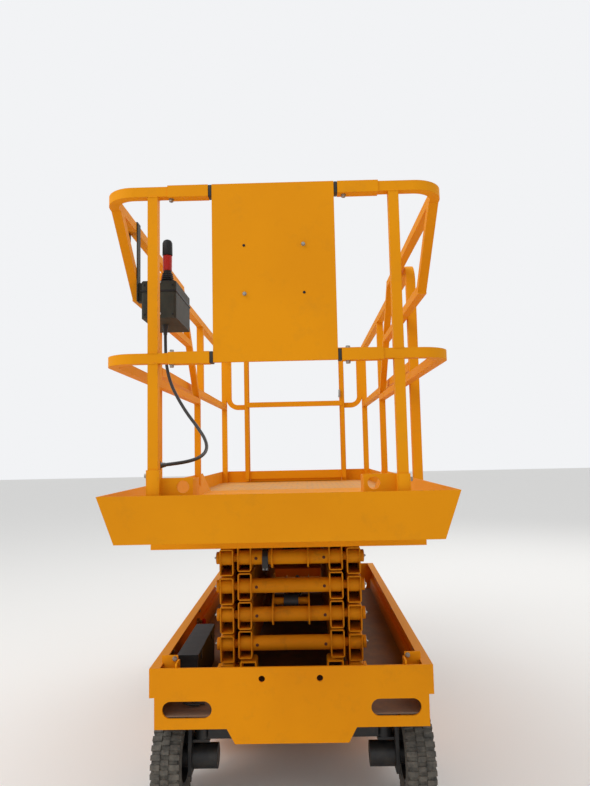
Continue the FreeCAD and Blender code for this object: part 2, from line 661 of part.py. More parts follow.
def rear_axle():
    y = REAR_AXLE_Y
    motor_x0 = KNUCKLE_X0 - MOTOR_L
    pieces = [box(-motor_x0, motor_x0, y - AXLE_HALF_D, y + AXLE_HALF_D,
                  REAR_BEAM_Z0, REAR_BEAM_Z1)]
    for side in (-1, 1):
        pieces.append(saddle(side, y, REAR_SADDLE_HALF_D, REAR_BEAM_Z1))
    for motor in both_sides(cylinder_x(MOTOR_R, motor_x0 - AXLE_END_IN, KNUCKLE_X1, y, WHEEL_R)):
        pieces.append(motor)
    spindle = cylinder_x(SPINDLE_R, KNUCKLE_X1, WHEEL_OUT_X - SPINDLE_INSET, y, WHEEL_R)
    return [join(pieces + both_sides(spindle))]


def axles():
    return front_axle() + rear_axle()


def knuckle(side):
    """Plate with two ears on the kingpin, the wheel motor, the spindle and the steering arm."""
    y, z = FRONT_AXLE_Y, WHEEL_R
    low, shoulder, top = z - KNUCKLE_DROP, z + KNUCKLE_RISE, SLEEVE_Z1 + EAR_T
    wide, narrow = KNUCKLE_HALF_D, KNUCKLE_TOP_HALF_D
    plate = prism_x([(y - wide, low), (y + wide, low), (y + wide, shoulder), (y + narrow, top),
                     (y - narrow, top), (y - wide, shoulder)], KNUCKLE_X0, KNUCKLE_X1)
    ears = [box(KINGPIN_X - EAR_HALF_D, KNUCKLE_X0, y - EAR_HALF_D, y + EAR_HALF_D, z0, z1)
            for z0, z1 in ((SLEEVE_Z1 + EAR_GAP, top), (SLEEVE_Z0 - EAR_T, SLEEVE_Z0 - EAR_GAP))]
    pin = cylinder_z(KINGPIN_R, SLEEVE_Z0 - EAR_T, top, KINGPIN_X, y)
    motor = cylinder_x(MOTOR_R, KNUCKLE_X0 - MOTOR_L, KNUCKLE_X0, y, z)
    spindle = cylinder_x(SPINDLE_R, KNUCKLE_X1, WHEEL_OUT_X - SPINDLE_INSET, y, z)
    y0, y1 = y + STEER_ARM_Y0, y + STEER_ARM + STEER_ARM_END
    arm = prism_z([(KINGPIN_X - STEER_ARM_W0, y0), (KINGPIN_X - STEER_ARM_W1, y1),
                   (KINGPIN_X + STEER_ARM_W1, y1), (KINGPIN_X + STEER_ARM_W0, y0)],
                  SLEEVE_Z0 - EAR_T, SLEEVE_Z0 - EAR_GAP)
    arm = arm.cut(cylinder_z(STEER_PIN_R + FIT, SLEEVE_Z0 - EAR_T - 1, SLEEVE_Z0,
                             KINGPIN_X, y + STEER_ARM))
    shape = join([plate] + ears + [pin, motor, spindle, arm])
    return [shape if side > 0 else mirrored(shape)]


def tie_rod():
    """Rod between the steering arms, with an eye and a pin at each end."""
    y = FRONT_AXLE_Y + STEER_ARM
    z1 = SLEEVE_Z0 - EAR_T - EAR_GAP
    z0 = z1 - TIE_EYE_H
    pieces = [cylinder_x(TIE_ROD_R, -KINGPIN_X, KINGPIN_X, y, (z0 + z1) / 2)]
    for x in (-KINGPIN_X, KINGPIN_X):
        pieces.append(cylinder_z(TIE_EYE_R, z0, z1, x, y))
        pieces.append(cylinder_z(STEER_PIN_R, z1, SLEEVE_Z0 - SIDE_GAP, x, y))
    return [join(pieces)]


# Wheels

WHEELS = (
    # name, side, axle y
    ("front_left", -1, FRONT_AXLE_Y),
    ("front_right", 1, FRONT_AXLE_Y),
    ("rear_left", -1, REAR_AXLE_Y),
    ("rear_right", 1, REAR_AXLE_Y),
)


def revolved_x(profile_xr, y, z):
    face = face_of([V(x, y, z + r) for x, r in profile_xr])
    return face.revolve(V(0, y, z), X_AXIS, 360)


def tyre(side, y):
    x0, x1 = WHEEL_OUT_X - WHEEL_W, WHEEL_OUT_X
    shoulder = WHEEL_R - TYRE_SHOULDER
    profile = [(x0 + BEAD_INSET, RIM_R), (x0, RIM_R + BEAD_H), (x0, shoulder),
               (x0 + TYRE_CHAMFER, WHEEL_R), (x1 - TYRE_CHAMFER, WHEEL_R), (x1, shoulder),
               (x1, RIM_R + BEAD_H), (x1 - BEAD_INSET, RIM_R)]
    shape = revolved_x(profile, y, WHEEL_R)
    return [shape if side > 0 else mirrored(shape)]


def rim(side, y):
    """Rim with a dished disc, a hub that runs on the spindle, and a raised cap."""
    x0, x1 = WHEEL_OUT_X - WHEEL_W + BEAD_INSET, WHEEL_OUT_X - BEAD_INSET
    disc_in = WHEEL_OUT_X - RIM_DISC_IN
    disc_out = disc_in + RIM_DISC_T
    cap = disc_out + RIM_CAP_L
    bore = SPINDLE_R + FIT
    hub = KNUCKLE_X1 + HUB_GAP
    profile = [(x0, RIM_R), (x1, RIM_R), (x1, RIM_R - RIM_LIP), (disc_out, RIM_R - RIM_WELL),
               (disc_out, RIM_DISC_R), (cap, RIM_CAP_R), (cap, bore), (hub, bore), (hub, HUB_R),
               (disc_in, HUB_R), (disc_in, RIM_R - RIM_WELL), (x0, RIM_R - RIM_LIP)]
    shape = revolved_x(profile, y, WHEEL_R)
    return [shape if side > 0 else mirrored(shape)]


# Scissor stack

def arm_blank(x0, drop):
    """Arm along +Y from its near pin at the origin, before it is tilted into place."""
    tube = square_tube_y(x0, x0 + ARM_W, -ARM_END, ARM_LENGTH + ARM_END,
                         -drop - ARM_H / 2, -drop + ARM_H / 2, ARM_WALL, ARM_CORNER_R)
    stations = (0.0, ARM_LENGTH / 2, ARM_LENGTH)
    bosses = [cylinder_x(BOSS_R, x0, x0 + ARM_W, y, 0) for y in stations]
    return join([tube] + bosses)


def pin_holes(x0, x1):
    return [cylinder_x(PIN_R + FIT, x0, x1, y, 0) for y in (0.0, ARM_LENGTH / 2, ARM_LENGTH)]


def tilt_outer(shape, level):
    shape.rotate(V(0, 0, 0), X_AXIS, REST_ANGLE)
    shape.translate(V(0, NEAR_PIN_Y, row_z(level - 1)))
    return shape


def tilt_inner(shape, level):
    shape.rotate(V(0, 0, 0), X_AXIS, -REST_ANGLE)
    shape.translate(V(0, NEAR_PIN_Y, row_z(level)))
    return shape


def outer_arms(level):
    arm = arm_blank(OUTER_X0, OUTER_DROP)
    for hole in pin_holes(OUTER_X0 - 1, OUTER_X0 + ARM_W + 1):
        arm = arm.cut(hole)
    return [tilt_outer(s, level) for s in both_sides(arm)]


def cylinder_ears(y_tube, off_y, off_z):
    """Two ring plates on a cross tube and the pin that a cylinder's eye turns on."""
    plate = link_plate(y_tube, 0, EAR_RING_R, y_tube + off_y, off_z, EAR_EYE_R,
                       CYL_EAR_X0, CYL_EAR_X0 + CYL_EAR_T)
    pin = cylinder_x(CYL_PIN_R, -CYL_EAR_X0, CYL_EAR_X0, y_tube + off_y, off_z)
    return both_sides(plate) + [pin]


def inner_arms(level):
    """Pair of arms joined by their cross tubes, with the ears of a lift cylinder."""
    pieces = both_sides(arm_blank(INNER_X0, 0.0))
    for y in (0.0, ARM_LENGTH):
        pieces.append(cylinder_x(BOSS_R, -INNER_X0, INNER_X0, y, 0))
    for base_level, rod_level in CYLINDER_LEVELS:
        if level == base_level:
            pieces.extend(cylinder_ears(ARM_LENGTH, BASE_OFF_Y, BASE_OFF_Z))
        if level == rod_level:
            pieces.extend(cylinder_ears(0.0, ROD_OFF_Y, ROD_OFF_Z))
    pieces.extend(arm_pins(level))
    return [tilt_inner(join(pieces), level)]


def headed_pin(x1, y):
    """Pin from inside the inner arm out to its head."""
    return [cylinder_x(PIN_R, INNER_X0, x1, y, 0),
            cylinder_x(PIN_HEAD_R, x1, x1 + PIN_HEAD_T, y, 0)]


def roller_axle(x0):
    """Roller on the end of its axle."""
    return [cylinder_x(PIN_R, x0, ROLLER_X1, ARM_LENGTH, 0),
            cylinder_x(ROLLER_R, ROLLER_X0, ROLLER_X1, ARM_LENGTH, 0)]


def arm_pins(level):
    """Pins that turn with one inner pair: upper near end, middle and lower far end."""
    near_head = PIN_HEAD_X if level < LEVELS else UPPER_EAR_X1 + PIN_SIDE_GAP
    shapes = headed_pin(near_head, 0.0) + headed_pin(PIN_HEAD_X, ARM_LENGTH / 2)
    shapes += headed_pin(PIN_HEAD_X, ARM_LENGTH) if level > 1 else roller_axle(INNER_X0)
    return [s for shape in shapes for s in both_sides(shape)]


def top_rollers():
    """Rollers on the far ends of the top outer arms, under the deck."""
    return [tilt_outer(s, LEVELS) for s in both_sides(join(roller_axle(OUTER_X0)))]


# Lift cylinders

def cylinder_ends(base_level, rod_level, lift_deg=0.0):
    """Base pin and rod pin (y, z) when the arms have been raised by lift_deg."""
    angle = math.radians(REST_ANGLE + lift_deg)
    rise = ARM_LENGTH * math.sin(angle)
    run = ARM_LENGTH * math.cos(angle)
    c, s = math.cos(-angle), math.sin(-angle)
    base = (NEAR_PIN_Y + run + BASE_OFF_Y * c - BASE_OFF_Z * s,
            ROW0_Z + (base_level - 1) * rise + BASE_OFF_Y * s + BASE_OFF_Z * c)
    rod = (NEAR_PIN_Y + ROD_OFF_Y * c - ROD_OFF_Z * s,
           ROW0_Z + rod_level * rise + ROD_OFF_Y * s + ROD_OFF_Z * c)
    return base, rod


def cylinder_length(base_level, rod_level, lift_deg=0.0):
    return math.dist(*cylinder_ends(base_level, rod_level, lift_deg))


def place_cylinder(shape, base_level, rod_level):
    """Move a shape drawn along -Y from the origin onto the line from base to rod."""
    base, rod = cylinder_ends(base_level, rod_level)
    angle = math.degrees(math.atan2(rod[1] - base[1], base[0] - rod[0]))
    shape.rotate(V(0, 0, 0), X_AXIS, -angle)
    shape.translate(V(0, base[0], base[1]))
    return shape


def along_cylinder(radius, start, end):
    """Round length of a cylinder or rod, at distances from the base pin."""
    return Part.makeCylinder(radius, end - start, V(0, -start, 0), V(0, -1, 0))


def barrel(base_level, rod_level):
    mouth = cylinder_length(base_level, rod_level) - EYE_R - GLAND_BACK
    half = EYE_W / 2
    neck_z = EYE_R - EYE_CHAMFER
    pieces = [along_cylinder(BARREL_R, EYE_R, mouth),
              along_cylinder(COLLAR_R, mouth - COLLAR_L, mouth),
              cylinder_x(EYE_R, -half, half, 0, 0),
              box(-half, half, -BARREL_R - EYE_CHAMFER, 0, -neck_z, neck_z)]
    shape = join(pieces).cut(along_cylinder(BARREL_BORE_R, BARREL_END, mouth + 1))
    shape = shape.cut(cylinder_x(CYL_PIN_R + FIT, -EYE_W, EYE_W, 0, 0))
    return [place_cylinder(shape, base_level, rod_level)]


def cylinder_rod(base_level, rod_level):
    """Piston, shaft and eye; at full lift the piston stands at the collar."""
    closed = cylinder_length(base_level, rod_level)
    stroke = cylinder_length(base_level, rod_level, LIFT_MAX) - closed
    piston = closed - EYE_R - GLAND_BACK - COLLAR_L - stroke - PISTON_L
    shape = join([along_cylinder(ROD_R, piston, closed - EYE_R + EYE_CHAMFER),
                  along_cylinder(BARREL_BORE_R - FIT, piston, piston + PISTON_L),
                  cylinder_x(EYE_R, -EYE_W / 2, EYE_W / 2, -closed, 0)])
    shape = shape.cut(cylinder_x(CYL_PIN_R + FIT, -EYE_W, EYE_W, -closed, 0))
    return [place_cylinder(shape, base_level, rod_level)]


# Main deck

def deck_frame():
    """Channel side members with front and rear members and toe boards."""
    t = DECK_WEB
    x1 = DECK_HALF_W - TOE_T
    top = DECK_TOP_Z - DECK_PLATE_T
    channel = [(x1, DECK_FRAME_Z), (x1, top), (x1 - DECK_FLANGE, top),
               (x1 - DECK_FLANGE, top - t), (x1 - t, top - t), (x1 - t, DECK_FRAME_Z + t),
               (x1 - DECK_FLANGE, DECK_FRAME_Z + t), (x1 - DECK_FLANGE, DECK_FRAME_Z)]
    sides = both_sides(prism_y(channel, DECK_Y0, DECK_Y1))
    ends = [box(-x1 + t, x1 - t, y, y + t, DECK_FRAME_Z, top) for y in (DECK_Y0, DECK_Y1 - t)]
    boards = both_sides(box(x1, x1 + TOE_T, DECK_Y0, DECK_Y1, DECK_FRAME_Z, TOE_TOP_Z))
    rear = both_sides(box(GATE_POST_X + TUBE / 2, x1, DECK_Y1 - TOE_T, DECK_Y1,
                          DECK_TOP_Z, TOE_TOP_Z))
    return [join(sides + ends + boards + rear)]


def main_post_places():
    corners = [(x, y) for x in (-MAIN_RAIL_X, MAIN_RAIL_X) for y in (MAIN_FRONT_Y, MAIN_REAR_Y)]
    return corners + [(x, MAIN_REAR_Y) for x in (-GATE_POST_X, GATE_POST_X)]


def deck_floor():
    """Floor plate, notched round the posts that stand on the frame."""
    x1 = DECK_HALF_W - TOE_T
    base = DECK_TOP_Z - DECK_PLATE_T
    floor = box(-x1, x1, DECK_Y0, DECK_Y1, base, DECK_TOP_Z)
    h = TUBE / 2
    for x, y in main_post_places():
        floor = floor.cut(box(x - h, x + h, y - h, y + h, base - 1, DECK_TOP_Z + 1))
    return [floor]


def upper_pivots():
    """Ears under the deck that the top inner arms' pins turn in."""
    z = row_z(LEVELS)
    top = DECK_TOP_Z - DECK_PLATE_T
    outline = [(NEAR_PIN_Y - UPPER_EAR_TOP, top), (NEAR_PIN_Y + UPPER_EAR_TOP, top),
               (NEAR_PIN_Y + UPPER_EAR_FOOT, z - UPPER_EAR_DROP),
               (NEAR_PIN_Y - UPPER_EAR_FOOT, z - UPPER_EAR_DROP)]
    ear = prism_x(outline, UPPER_EAR_X0, UPPER_EAR_X1)
    ear = ear.cut(cylinder_x(PIN_R + FIT, UPPER_EAR_X0 - 1, UPPER_EAR_X1 + 1, NEAR_PIN_Y, z))
    return both_sides(ear)


def upper_tracks():
    return both_sides(track(row_z(LEVELS), DECK_TOP_Z - DECK_PLATE_T))


def deck_guides():
    return upper_pivots() + upper_tracks()


def main_rails():
    """Side rails bent down into their end posts, middle rails, uprights and gate posts."""
    h = TUBE / 2
    base = DECK_TOP_Z - DECK_PLATE_T
    x, y0, y1, post = MAIN_RAIL_X, MAIN_FRONT_Y, MAIN_REAR_Y, GATE_POST_X
    top = TOP_RAIL_Z + h
    hoop = bent_bar([V(x, y0, base), V(x, y0, TOP_RAIL_Z), V(x, y1, TOP_RAIL_Z), V(x, y1, base)],
                    MAIN_ELBOW_R, TUBE, X_AXIS)
    u_tube = bent_bar([V(REAR_U_X, y1, TOP_RAIL_Z), V(REAR_U_X, y1, REAR_U_Z),
                       V(post, y1, REAR_U_Z)], REAR_U_R, TUBE, Y_AXIS)
    upright_y = MAIN_UPRIGHT_Y
    right = join([
        hoop, u_tube,
        box(x - h, x + h, y0, y1, MAIN_MID_Z - h, MAIN_MID_Z + h),
        box(x - h, x + h, upright_y - h, upright_y + h, MAIN_MID_Z, TOP_RAIL_Z),
        box(post - h, post + h, y1 - h, y1 + h, base, top),
        box(post, REAR_U_X + h, y1 - h, y1 + h, TOP_RAIL_Z - h, top),
    ])
    return [join([mirrored(right)] + gate_hinges()), right]


def gate_hinges():
    """Lugs with pins on the left gate post, below and above the gate's upright."""
    x, y, w = -GATE_POST_X, GATE_Y, GATE_LUG_HALF_W
    shapes = []
    for lug_z, pin_z in ((GATE_Z0 - SIDE_GAP - GATE_LUG_T, GATE_Z0 - SIDE_GAP),
                         (GATE_TOP_Z + SIDE_GAP, GATE_TOP_Z + SIDE_GAP - GATE_PIN_L)):
        shapes.append(box(x - w, x + w, y - w, MAIN_REAR_Y, lug_z, lug_z + GATE_LUG_T))
        shapes.append(cylinder_z(GATE_PIN_R, pin_z, pin_z + GATE_PIN_L, x, y))
    return shapes


def entry_gate():
    """Gate at the rear end with a kick plate; its left upright turns on two pins."""
    h, bar_h = GATE_TUBE / 2, GATE_BAR / 2
    x, y = GATE_POST_X, GATE_Y
    pieces = [box(side - h, side + h, y - h, y + h, GATE_Z0, GATE_TOP_Z) for side in (-x, x)]
    pieces.append(box(-x, x, y - h, y + h, GATE_TOP_Z - GATE_TUBE, GATE_TOP_Z))
    pieces.append(box(-x, x, y - bar_h, y + bar_h, GATE_MID_Z - bar_h, GATE_MID_Z + bar_h))
    pieces.append(box(-x, x, y + h - TOE_T, y + h, GATE_Z0, TOE_TOP_Z))
    gate = join(pieces)
    depth = GATE_PIN_L + SIDE_GAP
    for z in (GATE_Z0, GATE_TOP_Z - depth):
        gate = gate.cut(cylinder_z(GATE_PIN_R + FIT, z, z + depth, -x, y))
    return [gate]


# Extension

def end_board_y(z):
    """Outer face of the leaning end board at a height."""
    share = (z - EXT_TOE_LOW_Z) / (EXT_TOE_TOP_Z - EXT_TOE_LOW_Z)
    return FRONT_Y + EXT_END_LEAN * (1 - share)


def side_board_x(z):
    """Outer face of the leaning side board at a height."""
    share = (z - EXT_FLOOR_Z) / (EXT_TOE_TOP_Z - EXT_FLOOR_Z)
    return EXT_TOE_LOW_HALF_W + EXT_SIDE_LEAN * share


def extension_floor():
    y0 = end_board_y(EXT_FLOOR_Z) + EXT_TOE_T / 2
    return [box(-EXT_FLOOR_HALF_W, EXT_FLOOR_HALF_W, y0, EXT_REAR_Y,
                EXT_FLOOR_Z, EXT_FLOOR_Z + EXT_PLATE_T)]


def slide_pads():
    pad = box(PAD_X0, PAD_X1, MAIN_FRONT_Y, EXT_REAR_Y, DECK_TOP_Z + SEAT, EXT_FLOOR_Z)
    return both_sides(pad)


def extension_toe_boards():
    """Toe boards that lean outwards on the sides and the front end."""
    t = EXT_TOE_T
    low, high = EXT_TOE_LOW_HALF_W, EXT_TOE_TOP_HALF_W
    side = [(low, EXT_FLOOR_Z), (low - t, EXT_FLOOR_Z),
            (high - t, EXT_TOE_TOP_Z), (high, EXT_TOE_TOP_Z)]
    z0, z1 = EXT_FLOOR_Z - 1, EXT_TOE_TOP_Z + 1
    before = FRONT_Y - EXT_NOSE
    ahead = prism_x([(before, z0), (end_board_y(z0), z0), (end_board_y(z1), z1), (before, z1)],
                    -high - 1, high + 1)
    boards = [board.cut(ahead) for board in both_sides(prism_y(side, FRONT_Y, EXT_REAR_Y))]
    strips = both_sides(box(EXT_FLOOR_HALF_W, low, end_board_y(EXT_FLOOR_Z) + t / 2, EXT_REAR_Y,
                            EXT_FLOOR_Z, EXT_FLOOR_Z + EXT_PLATE_T))
    y_low = end_board_y(EXT_TOE_LOW_Z)
    outline = [V(-low, y_low, EXT_TOE_LOW_Z), V(low, y_low, EXT_TOE_LOW_Z),
               V(high, FRONT_Y, EXT_TOE_TOP_Z), V(-high, FRONT_Y, EXT_TOE_TOP_Z)]
    return boards + strips + [face_of(outline).extrude(V(0, t, 0))]


def extension_deck():
    return [join(extension_floor() + extension_toe_boards())]


def extension_rails():
    """Front corner hoops, side rails with their sloping members, and posts."""
    h = EXT_TUBE / 2
    base = EXT_FLOOR_Z + EXT_PLATE_T
    x, y, post = EXT_RAIL_X, EXT_FRONT_Y, EXT_POST_X
    gap = PANEL_HALF_W + PANEL_GAP
    top_end, mid_end = EXT_TOP_END_Y - h, EXT_MID_END_Y - h
    bend_end = y + EXT_CORNER_R
    low_end = top_end + (mid_end - top_end) * (TOP_RAIL_Z - EXT_LOW_Z) / (TOP_RAIL_Z - EXT_MID_Z)
    pieces = []
    for z, end in ((TOP_RAIL_Z, top_end + h), (EXT_MID_Z, mid_end + h)):
        pieces.append(bent_bar([V(gap, y, z), V(x, y, z), V(x, end, z)],
                               EXT_CORNER_R, EXT_TUBE, Z_AXIS))
        pieces.append(box(gap, gap + SLEEVE_L, y - h - SLEEVE_T, y + h + SLEEVE_T,
                          z - h - SLEEVE_T, z + h + SLEEVE_T))
    pieces += [
        bar(V(x, top_end, TOP_RAIL_Z), V(x, mid_end, EXT_MID_Z), EXT_TUBE, X_AXIS),
        bar(V(x, bend_end + h, TOP_RAIL_Z), V(x, bend_end + EXT_DIAG_RUN, EXT_LOW_Z),
            EXT_TUBE, X_AXIS),
        box(x - h, x + h, bend_end + EXT_DIAG_RUN - h, low_end, EXT_LOW_Z - h, EXT_LOW_Z + h),
        box(post - h, post + h, y - h, y + h, base, TOP_RAIL_Z),
        rear_post(x, mid_end, h, base),
    ]
    return both_sides(join(pieces))


def rear_post(x, y, half, base):
    """Post below the middle rail, cut at its foot to stand against the leaning board."""
    post = box(x - half, x + half, y - half, y + half, base, EXT_MID_Z)
    inner_low = side_board_x(base) - EXT_TOE_T
    inner_top = side_board_x(EXT_TOE_TOP_Z) - EXT_TOE_T
    outside = [(inner_low, base), (x + 2 * half, base), (x + 2 * half, EXT_TOE_TOP_Z),
               (inner_top, EXT_TOE_TOP_Z)]
    return post.cut(prism_y(outside, y - 2 * half, y + 2 * half))


def front_panel():
    """Blank plate on seats that carry it over the ends of the top and middle rails."""
    h, half_w = EXT_TUBE / 2, PANEL_HALF_W
    y0 = EXT_FRONT_Y - h - SLEEVE_T
    pieces = [box(-half_w, half_w, y0, y0 + PANEL_T, PANEL_Z0, PANEL_Z1)]
    spigot_x, s = half_w + PANEL_GAP, SPIGOT / 2
    for z, shift in ((TOP_RAIL_Z, -PANEL_BACK_UP), (EXT_MID_Z, PANEL_BACK_UP)):
        pieces.append(box(-half_w, half_w, y0 + PANEL_T, EXT_FRONT_Y + h,
                          z + shift - h, z + shift + h))
        pieces.append(box(-spigot_x, spigot_x, EXT_FRONT_Y - s, EXT_FRONT_Y + s, z - s, z + s))
    return [join(pieces)]


def bracket_plates():
    """Holed plates that stand on the deck beside the front posts."""
    y1 = EXT_FRONT_Y + EXT_TUBE / 2
    base = EXT_FLOOR_Z + EXT_PLATE_T
    top = base + BRACKET_H
    plate = box(BRACKET_X0, EXT_POST_X - EXT_TUBE / 2, y1 - BRACKET_T, y1, base, top)
    plate = plate.cut(cylinder_y(BRACKET_HOLE_R, y1 - BRACKET_T - 1, y1 + 1,
                                 BRACKET_X0 + BRACKET_HOLE_X, top - BRACKET_HOLE_DOWN))
    return both_sides(plate)


# Controls on the extension

def control_box():
    """Box with rounded upright edges, hung from the top rail by its strap."""
    shell = rounded_along(box(BOX_X0, BOX_X1, BOX_Y0, BOX_Y1, BOX_Z0, BOX_Z1),
                          Z_AXIS, BOX_CORNER_R)
    return [join([shell] + hook_strap())]


def hook_strap():
    """Strap up from the box's outer side and over the top rail."""
    h, t = EXT_TUBE / 2, STRAP_T
    x_in, x_out = SEAT + h - EXT_RAIL_X, -EXT_RAIL_X - h - SEAT
    y0, y1 = STRAP_Y, STRAP_Y + STRAP_W
    z0, z1 = BOX_Z1 - STRAP_FOOT_H, TOP_RAIL_Z + h + SEAT
    return [box(x_in + t, BOX_X0 + BOX_CORNER_R, y0 + BOX_CORNER_R, y1, z0, BOX_Z1),
            box(x_in, x_in + t, y0, y1, z0, z1 + t),
            box(x_out - t, x_in + t, y0, y1, z1, z1 + t),
            box(x_out - t, x_out, y0, y1, z1 - STRAP_HOOK, z1 + t)]


def joystick():
    """Boot, stem and grip."""
    base, stem_top = BOX_Z1, BOX_Z1 + STICK_STEM_H
    x, y, top = STICK_X, STICK_Y, BOX_Z1 + STICK_H
    profile = [(0, base), (STICK_BOOT_R, base), (STICK_STEM_R, base + STICK_BOOT_H),
               (STICK_STEM_R, stem_top), (STICK_R, stem_top + STICK_CHAMFER),
               (STICK_R, top - STICK_CHAMFER), (STICK_R - STICK_CHAMFER, top), (0, top)]
    face = face_of([V(x + r, y, z) for r, z in profile])
    return [face.revolve(V(x, y, 0), Z_AXIS, 360)]


def cable_socket():
    """Block on the rear of the left front post that the cable goes into."""
    x, y, z = CABLE_POINTS[-1]
    w, h = SOCKET_HALF_W, SOCKET_HALF_H
    post_face = EXT_FRONT_Y + EXT_TUBE / 2
    return [box(x - w, x + w, post_face, y - SOCKET_GAP, z - h, z + h)]


def cord_path(points):
    """Runs joined by arcs, each as wide as its two runs allow."""
    edges = []
    start = points[0]
    for before, corner, after in zip(points, points[1:], points[2:]):
        run_in, run_out = corner.sub(before), after.sub(corner)
        turn = run_in.getAngle(run_out)
        radius = CABLE_BEND_SHARE * min(run_in.Length, run_out.Length) / math.tan(turn / 2)
        rim_in, rim_out, centre = arc_frame(before, corner, after, radius)
        middle = centre.add(corner.sub(centre).normalize() * radius)
        edges.append(Part.LineSegment(start, rim_in).toShape())
        edges.append(Part.Arc(rim_in, middle, rim_out).toShape())
        start = rim_out
    edges.append(Part.LineSegment(start, points[-1]).toShape())
    return Part.Wire(edges)


def control_cable():
    points = [V(*p) for p in CABLE_POINTS]
    path = cord_path(points)
    circle = Part.Wire([Part.makeCircle(CABLE_R, points[0], points[1].sub(points[0]))])
    tube = path.makePipeShell([circle], True, True)
    print("cable length %.0f, volume ratio %.4f"
          % (path.Length, tube.Volume / (math.pi * CABLE_R ** 2 * path.Length)))
    return [tube]


def nodes():
    table = {
        "end_plates": end_plates,
        "chassis_side_members": chassis_side_members,
        "chassis_floor": chassis_floor,
        "underframe": underframe,
        "chassis_brackets": chassis_brackets,
        "lower_tracks": lower_tracks,
        "ground_control_box": ground_control_box,
        "side_housings": side_housings,
        "power_blocks": power_blocks,
        "ladder": ladder,
        "left_door": lambda: side_door(-1),
        "right_door": lambda: side_door(1),
        "axles": axles,
        "left_knuckle": lambda: knuckle(-1),
        "right_knuckle": lambda: knuckle(1),
        "tie_rod": tie_rod,
        "deck_frame": deck_frame,
        "deck_floor": deck_floor,
        "deck_guides": deck_guides,
        "main_rails": main_rails,
        "entry_gate": entry_gate,
        "top_rollers": top_rollers,
        "extension_deck": extension_deck,
        "slide_pads": slide_pads,
        "extension_rails": extension_rails,
        "front_panel": front_panel,
        "bracket_plates": bracket_plates,
        "cable_socket": cable_socket,
        "control_box": control_box,
        "joystick": joystick,
        "control_cable": control_cable,
    }
    for name, side, y in WHEELS:
        table[name + "_tyre"] = lambda side=side, y=y: tyre(side, y)
        table[name + "_rim"] = lambda side=side, y=y: rim(side, y)
    for level in range(1, LEVELS + 1):
        table["outer_arms_%d" % level] = lambda level=level: outer_arms(level)
        table["inner_arms_%d" % level] = lambda level=level: inner_arms(level)
    for name, levels in zip(("lower", "upper"), CYLINDER_LEVELS):
        table[name + "_barrel"] = lambda levels=levels: barrel(*levels)
        table[name + "_rod"] = lambda levels=levels: cylinder_rod(*levels)
    return table


def main():
    os.makedirs("parts", exist_ok=True)
    for name, build in nodes().items():
        solids = build()
        shape = solids[0] if len(solids) == 1 else Part.makeCompound(solids)
        if not shape.isValid():
            print("not valid:", name)
        shape.exportStep("parts/%s.step" % name)


if __name__ == "__main__":
    main()
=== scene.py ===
import json
import math

import bmesh
import bpy
from mathutils import Matrix, Vector


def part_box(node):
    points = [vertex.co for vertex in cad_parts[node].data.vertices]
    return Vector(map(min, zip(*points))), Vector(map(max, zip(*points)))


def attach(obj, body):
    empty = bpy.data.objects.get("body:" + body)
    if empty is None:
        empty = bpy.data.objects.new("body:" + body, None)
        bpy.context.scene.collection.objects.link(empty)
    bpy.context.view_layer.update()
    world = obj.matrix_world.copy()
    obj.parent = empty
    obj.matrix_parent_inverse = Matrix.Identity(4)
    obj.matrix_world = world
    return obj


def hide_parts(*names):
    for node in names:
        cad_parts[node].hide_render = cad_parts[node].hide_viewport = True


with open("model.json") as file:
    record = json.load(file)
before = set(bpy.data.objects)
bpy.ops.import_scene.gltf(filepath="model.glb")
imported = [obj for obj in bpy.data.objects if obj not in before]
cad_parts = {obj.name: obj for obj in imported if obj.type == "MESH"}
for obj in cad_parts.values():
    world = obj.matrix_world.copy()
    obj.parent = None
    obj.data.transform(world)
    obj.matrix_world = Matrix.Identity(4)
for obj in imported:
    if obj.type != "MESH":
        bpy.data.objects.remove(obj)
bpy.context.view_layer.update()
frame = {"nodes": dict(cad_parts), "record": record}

NODES = frame["nodes"]
MM = 0.001
SIDES = (-1, 1)


def box_corners(node):
    """Lowest and highest corner of a node's box."""
    return [Vector(corner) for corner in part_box(node)]


# Camera of the photograph, in the frame's metres
CAMERA_AT = (0.088, -3.568, 1.600)
PITCH_UP, TURN_LEFT, ROLL = 0.0924, 0.0155, -0.0214
FOCAL_PX, PHOTO_H = 622.9, 786
SENSOR = 36.0

# Places on the lift, read from the frame
PIVOT = {joint["name"]: Vector(joint["pos_m"]) for joint in frame["record"]["behaviour"]["joints"]
         if "pos_m" in joint}
LEVELS = (1, 2, 3, 4, 5)
NEAR = [PIVOT["lift"]] + [PIVOT["end_pin_%d" % k] for k in LEVELS[:-1]] + [PIVOT["deck_pin"]]
MIDDLE = {k: PIVOT["mid_pin_%d" % k] for k in LEVELS}
FAR = {k: 2 * MIDDLE[k] - NEAR[k] for k in LEVELS}

# Sections of the stack
ARM_INNER_X, CROSS_TUBE_R = 184 * MM, 34 * MM
TUBE_BOLT_INSET, TUBE_BOLT_D = 23 * MM, 15 * MM
PIN_HEAD_X, TOP_PIN_HEAD_X, PIN_HEAD_T, PIN_HEAD_R = 338 * MM, 308 * MM, 14 * MM, 29 * MM
STRAP_X, STRAP_HALF_W, STRAP_T = -118 * MM, 14 * MM, 3.5 * MM
BARREL_R, BARREL_COLLAR_R = 42 * MM, 49 * MM
ROD_EYE_L = 88 * MM
ROD_EYE_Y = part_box("upper_rod")[0][1] + ROD_EYE_L

# Inner face of the tray's side walls
TRAY_WALL_X = 609 * MM

